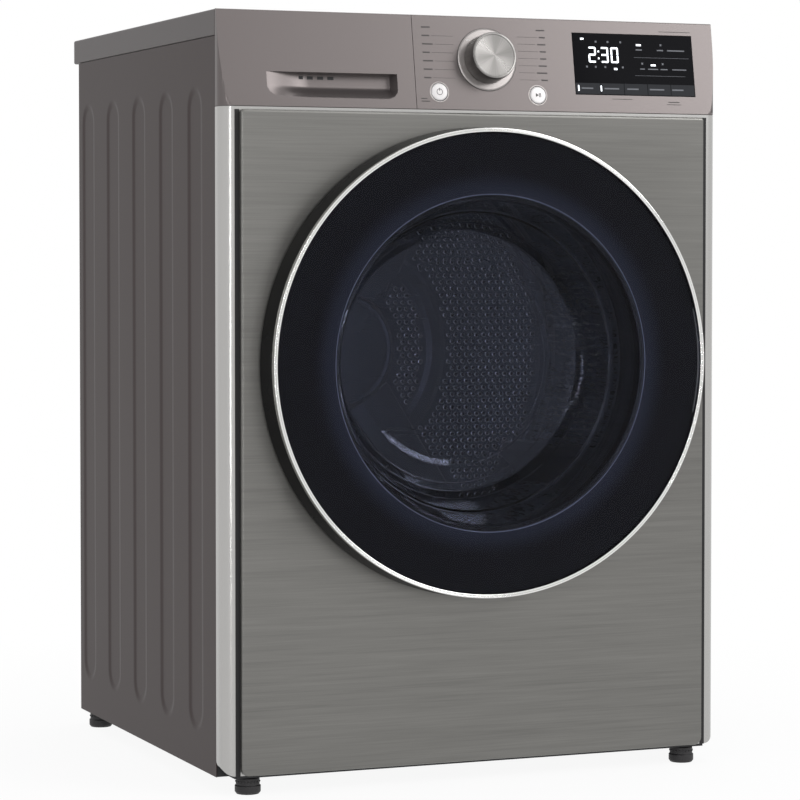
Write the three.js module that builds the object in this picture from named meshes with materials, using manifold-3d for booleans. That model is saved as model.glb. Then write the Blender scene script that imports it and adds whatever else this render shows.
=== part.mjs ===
// Free-standing heat-pump clothes dryer, front loading, 600 mm wide.
// Millimetres, +Z up. The dryer faces -Y and stands on the floor at z = 0.
import * as THREE from "three";
import { mergeVertices } from "three/addons/utils/BufferGeometryUtils.js";
import Module from "manifold-3d";

const wasm = await Module();
wasm.setup();

// ---------------------------------------------------------------- driving dimensions
const GAP = 0.3; // between pieces that are seated on each other
const SHEET = 1; // gauge of the steel panels

const WIDTH = 600;
const HEIGHT = 850;
const CABINET_DEPTH = 545; // front frame to the outside of the rear panel
const WORKTOP_OVERHANG = 21; // worktop past the rear panel
const WORKTOP_HEIGHT = 29;
const WORKTOP_SKIN = 8;
const WORKTOP_RIM = 15;
const CORNER_RADIUS = 15; // upright front corners
const SEAM_Y = 21; // side panels and worktop start here

const FASCIA_HEIGHT = 105; // control panel and tank front
const FASCIA_LEAN = 17.6; // how far the top of the fascia lies back
const FASCIA_WALL = 2.5;
const TANK_SPLIT_X = -73; // seam between the tank front and the control panel

const FOOT_HEIGHT = 19;
const FOOT_RADIUS = 14.5;
const FOOT_STEM_RADIUS = 4;
const FOOT_STEM_LENGTH = 24;
const FOOT_BOSS_WALL = 5;
const FRONT_FOOT = { x: 265, y: 18 };
const REAR_FOOT = { x: 283, y: 515 };

const PLATE_PROUD = 6; // brushed face plate in front of the front frame
const PLATE_INSET = 20.5; // edge of the face plate from the side of the dryer
const PLATE_TOP_GAP = 3.5;
const PLATE_TOP_RADIUS = 4;
const PLATE_BOTTOM_RADIUS = 9;

const DOOR_Z = 466; // centre of the door, the opening and the drum
const DOOR_PROUD = 49; // chrome ring in front of the front frame
const DOOR_BORDER = 58; // chrome ring past the door opening
const DOOR_FLARE = 2; // the dark side wall grows by this towards the face plate
const DOOR_RUNNING_GAP = 3;
const TRIM_WIDTH = 4.5;
const TRIM_DEPTH = 8;
const GLASS_THICKNESS = 4;
const GLASS_INSET = 2;
const DOOR_WALL = 3;
const BOWL_CLEARANCE = 16; // bowl inside the door opening
const BOWL_TAPER = 34;
const BOWL_DEPTH = 113;
const BOWL_WALL = 4;
const BOWL_CROWN = 10;

const HINGE_INSET = 12; // hinge axis inside the chrome ring
const HINGE_AHEAD = 24; // hinge axis in front of the face plate
const HINGE_PIN_RADIUS = 3.5;
const HINGE_PIN_CLEARANCE = 0.3;
const KNUCKLE_RADIUS = 8;
const KNUCKLE_HALF = 26;
const HINGE_ARM_HEIGHT = 12;
const HINGE_ARM_HALF = 4;
const HINGE_ARM_SIDE_GAP = 4;
const HINGE_ROOT = { near: 25, far: 37 }; // arm root from the hinge axis
const HINGE_NOTCH_REACH = 47;
const HINGE_NOTCH_HALF = 58;
const HINGE_BASE_THICKNESS = 2.5;

const OPENING_RADIUS = 200; // hole in the front frame
const OPENING_STEP = 3; // the face plate's hole is this much larger
const SEAL_WALL = 3.8;

const DRUM_RADIUS = 284;
const DRUM_WALL = 1;
const DRUM_FRONT_Y = 70;
const DRUM_REAR_Y = 426;
const DRUM_SHAFT_RADIUS = 12;
const LIFTER_HEIGHT = 46;
const LIFTER_BASE = 58;
const LIFTER_TOP = 18;
const LIFTER_END_GAP = 18;
const LIFTERS = 3;

const BULKHEAD_Y = 40;
const BULKHEAD_PLATE = 3;
const COLLAR_CLEARANCE = 12; // collar inside the drum's front rim
const COLLAR_WALL = 4;
const COLLAR_LENGTH = 32;

const ROLLER_RADIUS = 18;
const ROLLER_WIDTH = 18;
const ROLLER_ANGLE = 35; // degrees from straight down
const ROLLER_PIN_RADIUS = 5;
const ROLLER_RUNNING_GAP = 0.5;

const BELT_Y = 160;
const BELT_WIDTH = 9;
const BELT_THICKNESS = 2;
const MOTOR = { x: 170, z: 100, radius: 48, front: 182, rear: 290 };
const MOTOR_PULLEY_RADIUS = 9;
const MOTOR_SHAFT_RADIUS = 5;
const IDLER = { x: 60, z: 128, radius: 16 };

const FAN = { radius: 54, front: 330, width: 40, blades: 12 };
const FAN_CLEARANCE = 6;
const FAN_HOUSING_WALL = 3;

const TANK = { sideInset: 21, splitInset: 8, lift: 10, headroom: 8, length: 405, wall: 2.5 };
const TANK_PORT_RADIUS = 30;
const TANK_LID_THICKNESS = 2.7;
const TANK_SIDE_CLEARANCE = 3;
const PULL = { left: -255, right: -94, bottom: 9, top: 39, depth: 12 };

const KNOB = { x: 14.6, up: 57.8, radius: 27.5, capRadius: 26.5, height: 23, stem: 6 };
const BEZEL_RADIUS = 35.3;
const BEZEL_THICKNESS = 1.3;
const BUTTON_RADIUS = 10;
const BUTTON_CLEARANCE = 0.4;
const BUTTON_PROUD = 1.6;
const BUTTON_LENGTH = 9;
const POWER_BUTTON = { x: -45.2, up: 20 };
const START_BUTTON = { x: 74.3, up: 18.7 };
const DISPLAY = { left: 122, right: 273, bottom: 21, top: 91.5, depth: 2 };
const BOARD = { left: -62, right: 285, bottom: 9, top: 80, depth: 13, thickness: 1.6 };

const FILTER = { half: 80, depth: 18, wall: 3, collarGap: 5 };
const LAMP_SHARE = 0.22; // lamp radius in the space between opening and collar

// ---------------------------------------------------------------- derived places
const HALF = WIDTH / 2;
const FLOOR_Z = FOOT_HEIGHT;
const WORKTOP_BOTTOM = HEIGHT - WORKTOP_HEIGHT;
const FASCIA_BOTTOM = HEIGHT - FASCIA_HEIGHT;
const FASCIA_ANGLE = Math.atan2(FASCIA_LEAN, FASCIA_HEIGHT);
const TOTAL_DEPTH = DOOR_PROUD + CABINET_DEPTH + WORKTOP_OVERHANG;
const REAR_Y = CABINET_DEPTH;
const TUB_WALL = 3;
const TUB_TOP = DOOR_Z - DRUM_RADIUS - 12;
const SHELF_Z = FLOOR_Z + TUB_WALL + GAP; // what stands in the tub stands here
const DOOR_BACK_Y = -PLATE_PROUD - DOOR_RUNNING_GAP;
const SLAB_BACK_Y = -DOOR_PROUD + TRIM_DEPTH;
const HINGE_Y = -PLATE_PROUD - HINGE_AHEAD;
const DOOR_RADIUS = OPENING_RADIUS + DOOR_BORDER;
const DOOR_FOOT_RADIUS = DOOR_RADIUS + DOOR_FLARE;
const BOWL_RADIUS = OPENING_RADIUS - BOWL_CLEARANCE;
const BOWL_END_RADIUS = BOWL_RADIUS - BOWL_TAPER;
const HINGE_X = DOOR_RADIUS - HINGE_INSET;
const COLLAR_RADIUS = DRUM_RADIUS - COLLAR_CLEARANCE;
const TANK_LEFT = TANK.sideInset - HALF;
const TANK_RIGHT = TANK_SPLIT_X - TANK.splitInset;
const TANK_BOTTOM = FASCIA_BOTTOM + TANK.lift;
const TANK_TOP = HEIGHT - WORKTOP_SKIN - TANK.headroom;
const ROUND = 36; // sides of the large round pieces
const SMALL_ROUND = 18;

// ---------------------------------------------------------------- solids
function solidFrom(geometry) {
  const plain = new THREE.BufferGeometry();
  plain.setAttribute("position", geometry.getAttribute("position"));
  plain.setIndex(geometry.index);
  const merged = mergeVertices(plain, 1e-4);
  const corners = merged.index.array;
  const kept = [];
  for (let i = 0; i < corners.length; i += 3) {
    const [a, b, c] = corners.slice(i, i + 3);
    if (a !== b && b !== c && c !== a) kept.push(a, b, c);
  }
  const mesh = new wasm.Mesh({
    numProp: 3,
    vertProperties: merged.attributes.position.array,
    triVerts: new Uint32Array(kept),
  });
  return new wasm.Manifold(mesh);
}

const join = (...solids) => solids.reduce((all, one) => all.add(one));
const cut = (solid, ...tools) => tools.reduce((rest, tool) => rest.subtract(tool), solid);

function box([x0, x1], [y0, y1], [z0, z1], matrix) {
  const geometry = new THREE.BoxGeometry(x1 - x0, y1 - y0, z1 - z0);
  geometry.translate((x0 + x1) / 2, (y0 + y1) / 2, (z0 + z1) / 2);
  if (matrix) geometry.applyMatrix4(matrix);
  return solidFrom(geometry);
}

// A turned piece: the profile is a loop of [radius, place along the axis].
function turned(profile, { axis = "y", at = [0, 0, 0], sides = ROUND, matrix } = {}) {
  const area = profile.reduce((sum, [r, h], i) => {
    const [r2, h2] = profile[(i + 1) % profile.length];
    return sum + r * h2 - r2 * h;
  }, 0);
  const loop = area > 0 ? [...profile] : [...profile].reverse();
  const onAxis = loop.findIndex(([r], i) => r === 0 && loop[(i + loop.length - 1) % loop.length][0] === 0);
  const start = onAxis < 0 ? 0 : onAxis;
  const points = loop.slice(start).concat(loop.slice(0, start));
  if (onAxis < 0) points.push(points[0]);
  const geometry = new THREE.LatheGeometry(points.map(([r, h]) => new THREE.Vector2(r, h)), sides);
  if (axis === "z") geometry.rotateX(Math.PI / 2);
  if (axis === "x") geometry.rotateZ(-Math.PI / 2);
  geometry.translate(...at);
  if (matrix) geometry.applyMatrix4(matrix);
  return solidFrom(geometry);
}

const disc = (radius, from, to, options) =>
  turned([[0, from], [radius, from], [radius, to], [0, to]], options);

const ring = (inner, outer, from, to, options) =>
  turned([[inner, from], [outer, from], [outer, to], [inner, to]], options);

// An outline drawn in X and Y, pulled up along Z.
function column(shape, z0, z1, steps = 6) {
  const geometry = new THREE.ExtrudeGeometry(shape, {
    depth: z1 - z0,
    bevelEnabled: false,
    curveSegments: steps,
  });
  geometry.translate(0, 0, z0);
  return solidFrom(geometry);
}

// An outline drawn in X and Z, pulled back along Y.
function panel(shape, y0, y1, steps = 6) {
  const geometry = new THREE.ExtrudeGeometry(shape, {
    depth: y1 - y0,
    bevelEnabled: false,
    curveSegments: steps,
  });
  geometry.rotateX(Math.PI / 2);
  geometry.translate(0, y1, 0);
  return solidFrom(geometry);
}

// An outline drawn in Y and Z, pulled along X.
function beam(points, x0, x1) {
  const shape = new THREE.Shape(points.map(([y, z]) => new THREE.Vector2(y, z)));
  const geometry = new THREE.ExtrudeGeometry(shape, { depth: x1 - x0, bevelEnabled: false });
  geometry.applyMatrix4(new THREE.Matrix4().set(0, 0, 1, x0, 1, 0, 0, 0, 0, 1, 0, 0, 0, 0, 0, 1));
  return solidFrom(geometry);
}

function roundedRectangle(x0, x1, y0, y1, lower, upper = lower) {
  const shape = new THREE.Shape();
  shape.moveTo(x0 + lower, y0);
  shape.lineTo(x1 - lower, y0);
  shape.absarc(x1 - lower, y0 + lower, lower, -Math.PI / 2, 0);
  shape.lineTo(x1, y1 - upper);
  shape.absarc(x1 - upper, y1 - upper, upper, 0, Math.PI / 2);
  shape.lineTo(x0 + upper, y1);
  shape.absarc(x0 + upper, y1 - upper, upper, Math.PI / 2, Math.PI);
  shape.lineTo(x0, y0 + lower);
  shape.absarc(x0 + lower, y0 + lower, lower, Math.PI, Math.PI * 1.5);
  return shape;
}

function tube(points, radius, steps, sides = 8) {
  const path = new THREE.CatmullRomCurve3(points.map((p) => new THREE.Vector3(...p)));
  const section = new THREE.Shape();
  for (let i = 0; i < sides; i += 1) {
    const turn = (i / sides) * Math.PI * 2;
    const corner = [radius * Math.cos(turn), radius * Math.sin(turn)];
    if (i === 0) section.moveTo(...corner);
    else section.lineTo(...corner);
  }
  return solidFrom(new THREE.ExtrudeGeometry(section, { steps, extrudePath: path, bevelEnabled: false }));
}

// ---------------------------------------------------------------- scene graph
const dryer = new THREE.Group();
dryer.position.y = DOOR_PROUD - TOTAL_DEPTH / 2; // y = 0 inside is the front frame

function addGroup(parent, x, y, z) {
  const group = new THREE.Group();
  group.position.set(x, y, z);
  parent.add(group);
  return group;
}

function add(parent, name, solid, color, roughness, metalness = 0) {
  const { numProp, vertProperties, triVerts } = solid.getMesh();
  const geometry = new THREE.BufferGeometry();
  const data = new THREE.InterleavedBuffer(vertProperties, numProp);
  geometry.setAttribute("position", new THREE.InterleavedBufferAttribute(data, 3, 0));
  geometry.setIndex(new THREE.BufferAttribute(triVerts, 1));
  const flat = geometry.toNonIndexed();
  flat.computeVertexNormals();
  const mesh = new THREE.Mesh(flat, new THREE.MeshStandardMaterial({ color, roughness, metalness }));
  mesh.name = name;
  parent.add(mesh);
  return mesh;
}

// ---------------------------------------------------------------- cabinet
const PAINT = 0x6a6462;
const GALVANISED = 0x9a9c9c;
const BLACK_PLASTIC = 0x17161a;
const GREY_PLASTIC = 0x8c8a88;
const WHITE_PLASTIC = 0xd9dad6;

const tubHalf = HALF - SHEET - 2 * GAP;
const frontFeet = [[-FRONT_FOOT.x, FRONT_FOOT.y], [FRONT_FOOT.x, FRONT_FOOT.y]];
const rearFeet = [[-REAR_FOOT.x, REAR_FOOT.y], [REAR_FOOT.x, REAR_FOOT.y]];
const feet = [...frontFeet, ...rearFeet];

function makeBaseTub() {
  const lip = 3;
  const front = SEAM_Y + 1.5;
  const back = REAR_Y - SHEET - 2 * GAP;
  const bossRadius = FOOT_STEM_RADIUS + FOOT_BOSS_WALL;
  const floor = FLOOR_Z + TUB_WALL;
  const tray = cut(
    join(
      box([-tubHalf, tubHalf], [front, back], [FLOOR_Z, TUB_TOP]),
      box([CORNER_RADIUS - HALF, HALF - CORNER_RADIUS], [lip, front + 1], [FLOOR_Z, floor]),
    ),
    box([TUB_WALL - tubHalf, tubHalf - TUB_WALL], [front + TUB_WALL, back - TUB_WALL], [floor, TUB_TOP + 1]),
  );
  const bosses = feet.map(([x, y]) => disc(bossRadius, FLOOR_Z, FLOOR_Z + FOOT_STEM_LENGTH,
    { axis: "z", at: [x, y, 0], sides: SMALL_ROUND }));
  const bores = feet.map(([x, y]) => disc(FOOT_STEM_RADIUS + GAP, FLOOR_Z - 1, FLOOR_Z + FOOT_STEM_LENGTH + 1,
    { axis: "z", at: [x, y, 0], sides: SMALL_ROUND }));
  return cut(join(tray, ...bosses), ...bores);
}

function makeFoot() {
  const profile = [[0, 0], [FOOT_RADIUS - 2, 0], [FOOT_RADIUS, 2.5], [FOOT_RADIUS, FOOT_HEIGHT - GAP]];
  const stem = [[FOOT_STEM_RADIUS, FOOT_HEIGHT - GAP], [FOOT_STEM_RADIUS, FOOT_HEIGHT + FOOT_STEM_LENGTH]];
  return turned([...profile, ...stem, [0, FOOT_HEIGHT + FOOT_STEM_LENGTH]], { axis: "z", sides: SMALL_ROUND });
}

const RIBS = { count: 5, width: 52, frontSpace: 90, backSpace: 42, below: 51, above: 60, depth: 0.8 };

function makeSidePanel(side) {
  const outer = side * HALF;
  const inner = side * (HALF - SHEET);
  const flange = 12;
  const back = REAR_Y - SHEET - GAP;
  const top = WORKTOP_BOTTOM - GAP;
  const span = (a, b) => [Math.min(a, b), Math.max(a, b)];
  const flangeX = span(outer, outer - side * flange);
  const sheet = join(
    box(span(outer, inner), [SEAM_Y, back], [FLOOR_Z, top]),
    box(flangeX, [back - SHEET, back], [TUB_TOP + 1, top]),
    box(flangeX, [SEAM_Y, SEAM_Y + SHEET], [TUB_TOP + 1, FASCIA_BOTTOM - 1]),
  );
  const pitch = (REAR_Y - RIBS.frontSpace - RIBS.backSpace) / (RIBS.count - 1);
  const rib = (index, x0, x1) => {
    const shape = new THREE.Shape();
    const y = RIBS.frontSpace + index * pitch;
    const r = RIBS.width / 2;
    shape.absarc(y, WORKTOP_BOTTOM - RIBS.below - r, r, 0, Math.PI);
    shape.absarc(y, RIBS.above + r, r, Math.PI, 2 * Math.PI);
    const geometry = new THREE.ExtrudeGeometry(shape, { depth: x1 - x0, bevelEnabled: false, curveSegments: 4 });
    geometry.applyMatrix4(new THREE.Matrix4().set(0, 0, 1, x0, 1, 0, 0, 0, 0, 1, 0, 0, 0, 0, 0, 1));
    return solidFrom(geometry);
  };
  const indexes = [...Array(RIBS.count).keys()];
  const embossed = join(sheet, ...indexes.map((i) => rib(i, ...span(inner + side * 0.2, inner - side * RIBS.depth))));
  const hollows = indexes.map((i) => rib(i, ...span(outer + side, outer - side * RIBS.depth)));
  const tubRelief = box(span(inner, inner - side * 2 * RIBS.depth), [0, back], [FLOOR_Z, TUB_TOP + 1]);
  return cut(embossed, tubRelief, ...hollows);
}

const INLET = { left: 190, right: 226, bottom: TUB_TOP + 30, top: TUB_TOP + 58, flange: 5, wall: 5 };
const VENTS = { count: 8, left: -220, right: -120, bottom: 120, pitch: 14, height: 6 };

function makeRearPanel() {
  const edge = HALF - GAP;
  const sheet = box([-edge, edge], [REAR_Y - SHEET, REAR_Y], [FLOOR_Z + GAP, WORKTOP_BOTTOM - GAP]);
  const inlet = box([INLET.left - GAP, INLET.right + GAP], [REAR_Y - 5, REAR_Y + 5],
    [INLET.bottom - GAP, INLET.top + GAP]);
  const slots = [...Array(VENTS.count).keys()].map((i) => {
    const bottom = TUB_TOP + VENTS.bottom + i * VENTS.pitch;
    return box([VENTS.left, VENTS.right], [REAR_Y - 5, REAR_Y + 5], [bottom, bottom + VENTS.height]);
  });
  return cut(sheet, inlet, ...slots);
}

function makeCordInlet() {
  const { left, right, bottom, top, flange, wall } = INLET;
  const back = REAR_Y + GAP;
  const shell = join(
    box([left, right], [REAR_Y - 22, back + 1], [bottom, top]),
    box([left - flange, right + flange], [back, back + 3], [bottom - flange, top + flange]),
  );
  return cut(shell, box([left + wall, right - wall], [REAR_Y - 16, back + 5], [bottom + wall, top - wall]));
}

function makeWorktop() {
  const front = SEAM_Y;
  const back = REAR_Y + WORKTOP_OVERHANG;
  const board = box([-HALF, HALF], [front, back], [WORKTOP_BOTTOM, HEIGHT]);
  return cut(board, box([WORKTOP_RIM - HALF, HALF - WORKTOP_RIM], [front - 1, REAR_Y - WORKTOP_RIM],
    [WORKTOP_BOTTOM - 1, HEIGHT - WORKTOP_SKIN]));
}

// The plan of the front corners, offset inwards by a wall.
function cornerPlan(offset, back) {
  const side = HALF - offset;
  const flat = HALF - CORNER_RADIUS;
  const radius = CORNER_RADIUS - offset;
  const shape = new THREE.Shape();
  shape.moveTo(-side, back);
  shape.lineTo(-side, CORNER_RADIUS);
  shape.absarc(-flat, CORNER_RADIUS, radius, Math.PI, 1.5 * Math.PI);
  shape.lineTo(flat, offset);
  shape.absarc(flat, CORNER_RADIUS, radius, 1.5 * Math.PI, 2 * Math.PI);
  shape.lineTo(side, back);
  return shape;
}

function makeFrontFrame() {
  const bottom = FLOOR_Z + TUB_WALL + GAP;
  const top = FASCIA_BOTTOM - GAP;
  const back = SEAM_Y - GAP;
  const shell = cut(
    column(cornerPlan(0, back), bottom, top),
    column(cornerPlan(SHEET, back + 1), bottom - 1, top + 1),
  );
  const outline = panel(roundedRectangle(-HALF, HALF, bottom, top, CORNER_RADIUS, 0.5), -1, SEAM_Y);
  return cut(
    shell.intersect(outline),
    disc(OPENING_RADIUS, -5, 5, { at: [0, 0, DOOR_Z] }),
    latchSlot(),
  );
}

const LATCH = { x: 32 - DOOR_RADIUS, half: 8, slotHalf: 6, reach: 14 };
const latchSlot = () => box([LATCH.x - LATCH.slotHalf, LATCH.x + LATCH.slotHalf], [-PLATE_PROUD - 1, 5],
  [DOOR_Z - LATCH.half - 4, DOOR_Z + LATCH.half + 4]);

function makeFacePlate() {
  const edge = HALF - PLATE_INSET;
  const bottom = FLOOR_Z + TUB_WALL;
  const top = FASCIA_BOTTOM - PLATE_TOP_GAP;
  const rect = (inset) => roundedRectangle(inset - edge, edge - inset, bottom + inset, top - inset,
    PLATE_BOTTOM_RADIUS - inset, PLATE_TOP_RADIUS - inset);
  const pan = cut(
    panel(rect(0), -PLATE_PROUD, -GAP),
    panel(rect(SHEET), -PLATE_PROUD + SHEET, 1),
  );
  return cut(pan, disc(OPENING_RADIUS + OPENING_STEP, -PLATE_PROUD - 1, 5, { at: [0, 0, DOOR_Z] }), latchSlot());
}

function makeLatchCatch() {
  const wide = LATCH.slotHalf + 6;
  const tall = LATCH.half + 12;
  const front = SHEET + GAP;
  const body = box([LATCH.x - wide, LATCH.x + wide], [front, BULKHEAD_Y - GAP], [DOOR_Z - tall, DOOR_Z + tall]);
  return cut(body, box([LATCH.x - LATCH.slotHalf, LATCH.x + LATCH.slotHalf], [0, front + LATCH.reach],
    [DOOR_Z - LATCH.half - 4, DOOR_Z + LATCH.half + 4]));
}

feet.forEach(([x, y], i) => {
  const name = ["foot_front_left", "foot_front_right", "foot_rear_left", "foot_rear_right"][i];
  const foot = add(dryer, name, makeFoot(), 0x141214, 0.75);
  foot.position.set(x, y, 0);
});
add(dryer, "base_tub", makeBaseTub(), BLACK_PLASTIC, 0.7);
add(dryer, "left_side_panel", makeSidePanel(-1), PAINT, 0.45, 0.3);
add(dryer, "right_side_panel", makeSidePanel(1), PAINT, 0.45, 0.3);
add(dryer, "rear_panel", makeRearPanel(), GALVANISED, 0.45, 0.8);
add(dryer, "cord_inlet", makeCordInlet(), BLACK_PLASTIC, 0.6);
add(dryer, "worktop", makeWorktop(), PAINT, 0.4, 0.2);
add(dryer, "front_frame", makeFrontFrame(), 0x8a8886, 0.4, 0.5);
add(dryer, "front_face_plate", makeFacePlate(), 0x8c8c88, 0.35, 0.9);
add(dryer, "door_latch_catch", makeLatchCatch(), GREY_PLASTIC, 0.6);

// ---------------------------------------------------------------- leaning fascia
const fascia = addGroup(dryer, 0, 0, FASCIA_BOTTOM);
fascia.rotation.x = -FASCIA_ANGLE; // inside: y goes into the panel, z climbs its face
fascia.updateMatrix();

function fasciaProfile(inset) {
  const back = SEAM_Y - GAP;
  const slope = inset / Math.cos(FASCIA_ANGLE);
  const bottom = FASCIA_BOTTOM + GAP + inset;
  const top = HEIGHT - inset;
  const face = (z) => (z - FASCIA_BOTTOM) * Math.tan(FASCIA_ANGLE) + slope;
  const end = inset ? back + 1 : back;
  return [[face(bottom), bottom], [end, bottom], [end, top], [face(top), top]];
}

function fasciaBlock(x0, x1) {
  const corner = column(cornerPlan(0, SEAM_Y + 1), FASCIA_BOTTOM - 1, HEIGHT + 1);
  return beam(fasciaProfile(0), x0, x1).intersect(corner);
}

const onFascia = (feature, from, to, radius) =>
  disc(radius, from, to, { at: [feature.x, 0, feature.up], sides: SMALL_ROUND, matrix: fascia.matrix });

const boardSupports = [[-30, 74], [100, 8], [200, 8], [278, 74]];

function makeControlPanel() {
  const left = TANK_SPLIT_X + GAP;
  const inner = beam(fasciaProfile(FASCIA_WALL), left + FASCIA_WALL, HALF - FASCIA_WALL - SHEET);
  const { left: x0, right: x1, bottom, top, depth } = DISPLAY;
  const seat = box([x0 - 3, x1 + 3], [1, depth + 3], [bottom - 3, top + 3], fascia.matrix);
  const clip = box([left, HALF - FASCIA_WALL - SHEET], [0, SEAM_Y - GAP], [FASCIA_BOTTOM + 1, HEIGHT - 1]);
  const supports = boardSupports.map(([x, up]) => disc(4, 1, BOARD.depth - GAP,
    { at: [x, 0, up], sides: 12, matrix: fascia.matrix }));
  const window = box([x0 - GAP, x1 + GAP], [-5, depth + GAP], [bottom - GAP, top + GAP], fascia.matrix);
  const cable = box([x0 + 30, x1 - 30], [0, 30], [bottom + 20, top - 20], fascia.matrix);
  return cut(
    join(cut(fasciaBlock(left, HALF), inner), seat.intersect(clip), ...supports),
    window,
    cable,
    onFascia(KNOB, -5, 30, KNOB.stem + 1),
    onFascia(POWER_BUTTON, -5, 30, BUTTON_RADIUS + BUTTON_CLEARANCE),
    onFascia(START_BUTTON, -5, 30, BUTTON_RADIUS + BUTTON_CLEARANCE),
  );
}

function makeTankFront() {
  const right = TANK_SPLIT_X - GAP;
  const pull = panel(roundedRectangle(PULL.left, PULL.right, PULL.bottom, PULL.top, 6, 1.5), -5, PULL.depth);
  const placed = pull.transform(fascia.matrix.elements);
  return cut(fasciaBlock(-HALF, right), placed);
}

function makeDisplay() {
  const { left, right, bottom, top, depth } = DISPLAY;
  return panel(roundedRectangle(left, right, bottom, top, 2), 0, depth);
}

function makeBoard() {
  const { left, right, bottom, top, depth, thickness } = BOARD;
  const plate = box([left, right], [depth, depth + thickness], [bottom, top]);
  const encoder = disc(KNOB.stem + 4, depth + thickness - 0.5, depth + thickness + 6,
    { at: [KNOB.x, 0, KNOB.up], sides: SMALL_ROUND });
  const shaftHole = disc(KNOB.stem + GAP, depth - 1, depth + thickness + 3,
    { at: [KNOB.x, 0, KNOB.up], sides: SMALL_ROUND });
  const switches = [POWER_BUTTON, START_BUTTON].map((button) => box([button.x - 3, button.x + 3],
    [depth - 2, depth + 0.5], [button.up - 3, button.up + 3]));
  return cut(join(plate, encoder, ...switches), shaftHole);
}

function makeKnob() {
  const { radius, capRadius, height, stem } = KNOB;
  const gap = BEZEL_THICKNESS + 2 * GAP;
  return turned([
    [0, -height], [capRadius - 1, -height], [capRadius, 1 - height], [radius, -gap],
    [stem, -gap], [stem, BOARD.depth + 2], [0, BOARD.depth + 2],
  ], { sides: 28 });
}

function makeButton() {
  const front = -BUTTON_PROUD;
  return turned([
    [0, front], [BUTTON_RADIUS - 1, front], [BUTTON_RADIUS, front + 0.8],
    [BUTTON_RADIUS, BUTTON_LENGTH - BUTTON_PROUD], [0, BUTTON_LENGTH - BUTTON_PROUD],
  ], { sides: SMALL_ROUND });
}

add(dryer, "control_panel", makeControlPanel(), 0x8a8483, 0.4, 0.4);
add(fascia, "display_window", makeDisplay(), 0x0a0a0e, 0.08);
add(fascia, "control_board", makeBoard(), 0x1d5a34, 0.6);
const bezel = add(fascia, "knob_bezel", ring(KNOB.stem + 1, BEZEL_RADIUS, -GAP - BEZEL_THICKNESS, -GAP,
  { sides: 28 }), 0x9b9796, 0.35, 0.6);
bezel.position.set(KNOB.x, 0, KNOB.up);
const knob = add(fascia, "program_knob", makeKnob(), 0xb9b4b2, 0.3, 0.8);
knob.position.set(KNOB.x, 0, KNOB.up);
const powerButton = add(fascia, "power_button", makeButton(), 0xd8d6d6, 0.4);
powerButton.position.set(POWER_BUTTON.x, 0, POWER_BUTTON.up);
const startButton = add(fascia, "start_button", makeButton(), 0xd8d6d6, 0.4);
startButton.position.set(START_BUTTON.x, 0, START_BUTTON.up);

// ---------------------------------------------------------------- water tank drawer
const tankBack = SEAM_Y + TANK.length;

function makeWaterTank() {
  const { wall } = TANK;
  return cut(
    box([TANK_LEFT, TANK_RIGHT], [SEAM_Y, tankBack], [TANK_BOTTOM, TANK_TOP]),
    box([TANK_LEFT + wall, TANK_RIGHT - wall], [SEAM_Y + wall, tankBack - wall], [TANK_BOTTOM + wall, TANK_TOP + 1]),
  );
}

function makeTankLid() {
  const z = TANK_TOP + GAP;
  return cut(
    box([TANK_LEFT, TANK_RIGHT], [SEAM_Y, tankBack], [z, z + TANK_LID_THICKNESS]),
    disc(TANK_PORT_RADIUS, z - 1, z + 10,
      { axis: "z", at: [(TANK_LEFT + TANK_RIGHT) / 2, tankBack - 70, 0], sides: SMALL_ROUND }),
  );
}

function makeTankHousing() {
  const wall = 2;
  const inner = [TANK_LEFT - TANK_SIDE_CLEARANCE, TANK_RIGHT + TANK_SIDE_CLEARANCE];
  const outer = [inner[0] - wall, inner[1] + wall];
  const back = tankBack + 8;
  const top = HEIGHT - WORKTOP_SKIN - 1;
  const runner = TANK_BOTTOM - GAP;
  return cut(
    box(outer, [SEAM_Y + 4, back + wall], [runner - 2 * wall, top]),
    box(inner, [SEAM_Y, back], [runner, top + 1]),
  );
}

add(dryer, "tank_front", makeTankFront(), 0x8a8483, 0.4, 0.4);
add(dryer, "water_tank", makeWaterTank(), WHITE_PLASTIC, 0.5);
add(dryer, "tank_lid", makeTankLid(), WHITE_PLASTIC, 0.45);
add(dryer, "tank_housing", makeTankHousing(), GREY_PLASTIC, 0.6);

// ---------------------------------------------------------------- door
const door = addGroup(dryer, HINGE_X, HINGE_Y, DOOR_Z); // turns about its own z axis
const leaf = addGroup(door, -HINGE_X, -HINGE_Y, 0); // origin: centre of the door, front frame plane

const hingeNotch = () => box([HINGE_X - HINGE_NOTCH_REACH, HINGE_X + HINGE_NOTCH_REACH],
  [SLAB_BACK_Y + GAP, 5], [-HINGE_NOTCH_HALF, HINGE_NOTCH_HALF]);

function makeTrimRing() {
  const front = -DOOR_PROUD;
  const inner = DOOR_RADIUS - TRIM_WIDTH;
  return turned([
    [inner, SLAB_BACK_Y], [DOOR_RADIUS, SLAB_BACK_Y], [DOOR_RADIUS, front + 1],
    [DOOR_RADIUS - 1, front], [inner + 1, front], [inner, front + 1],
  ]);
}

function makeDoorGlass() {
  const radius = DOOR_RADIUS - TRIM_WIDTH - GAP;
  const front = GLASS_INSET - DOOR_PROUD;
  return disc(radius, front, front + GLASS_THICKNESS);
}

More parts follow.
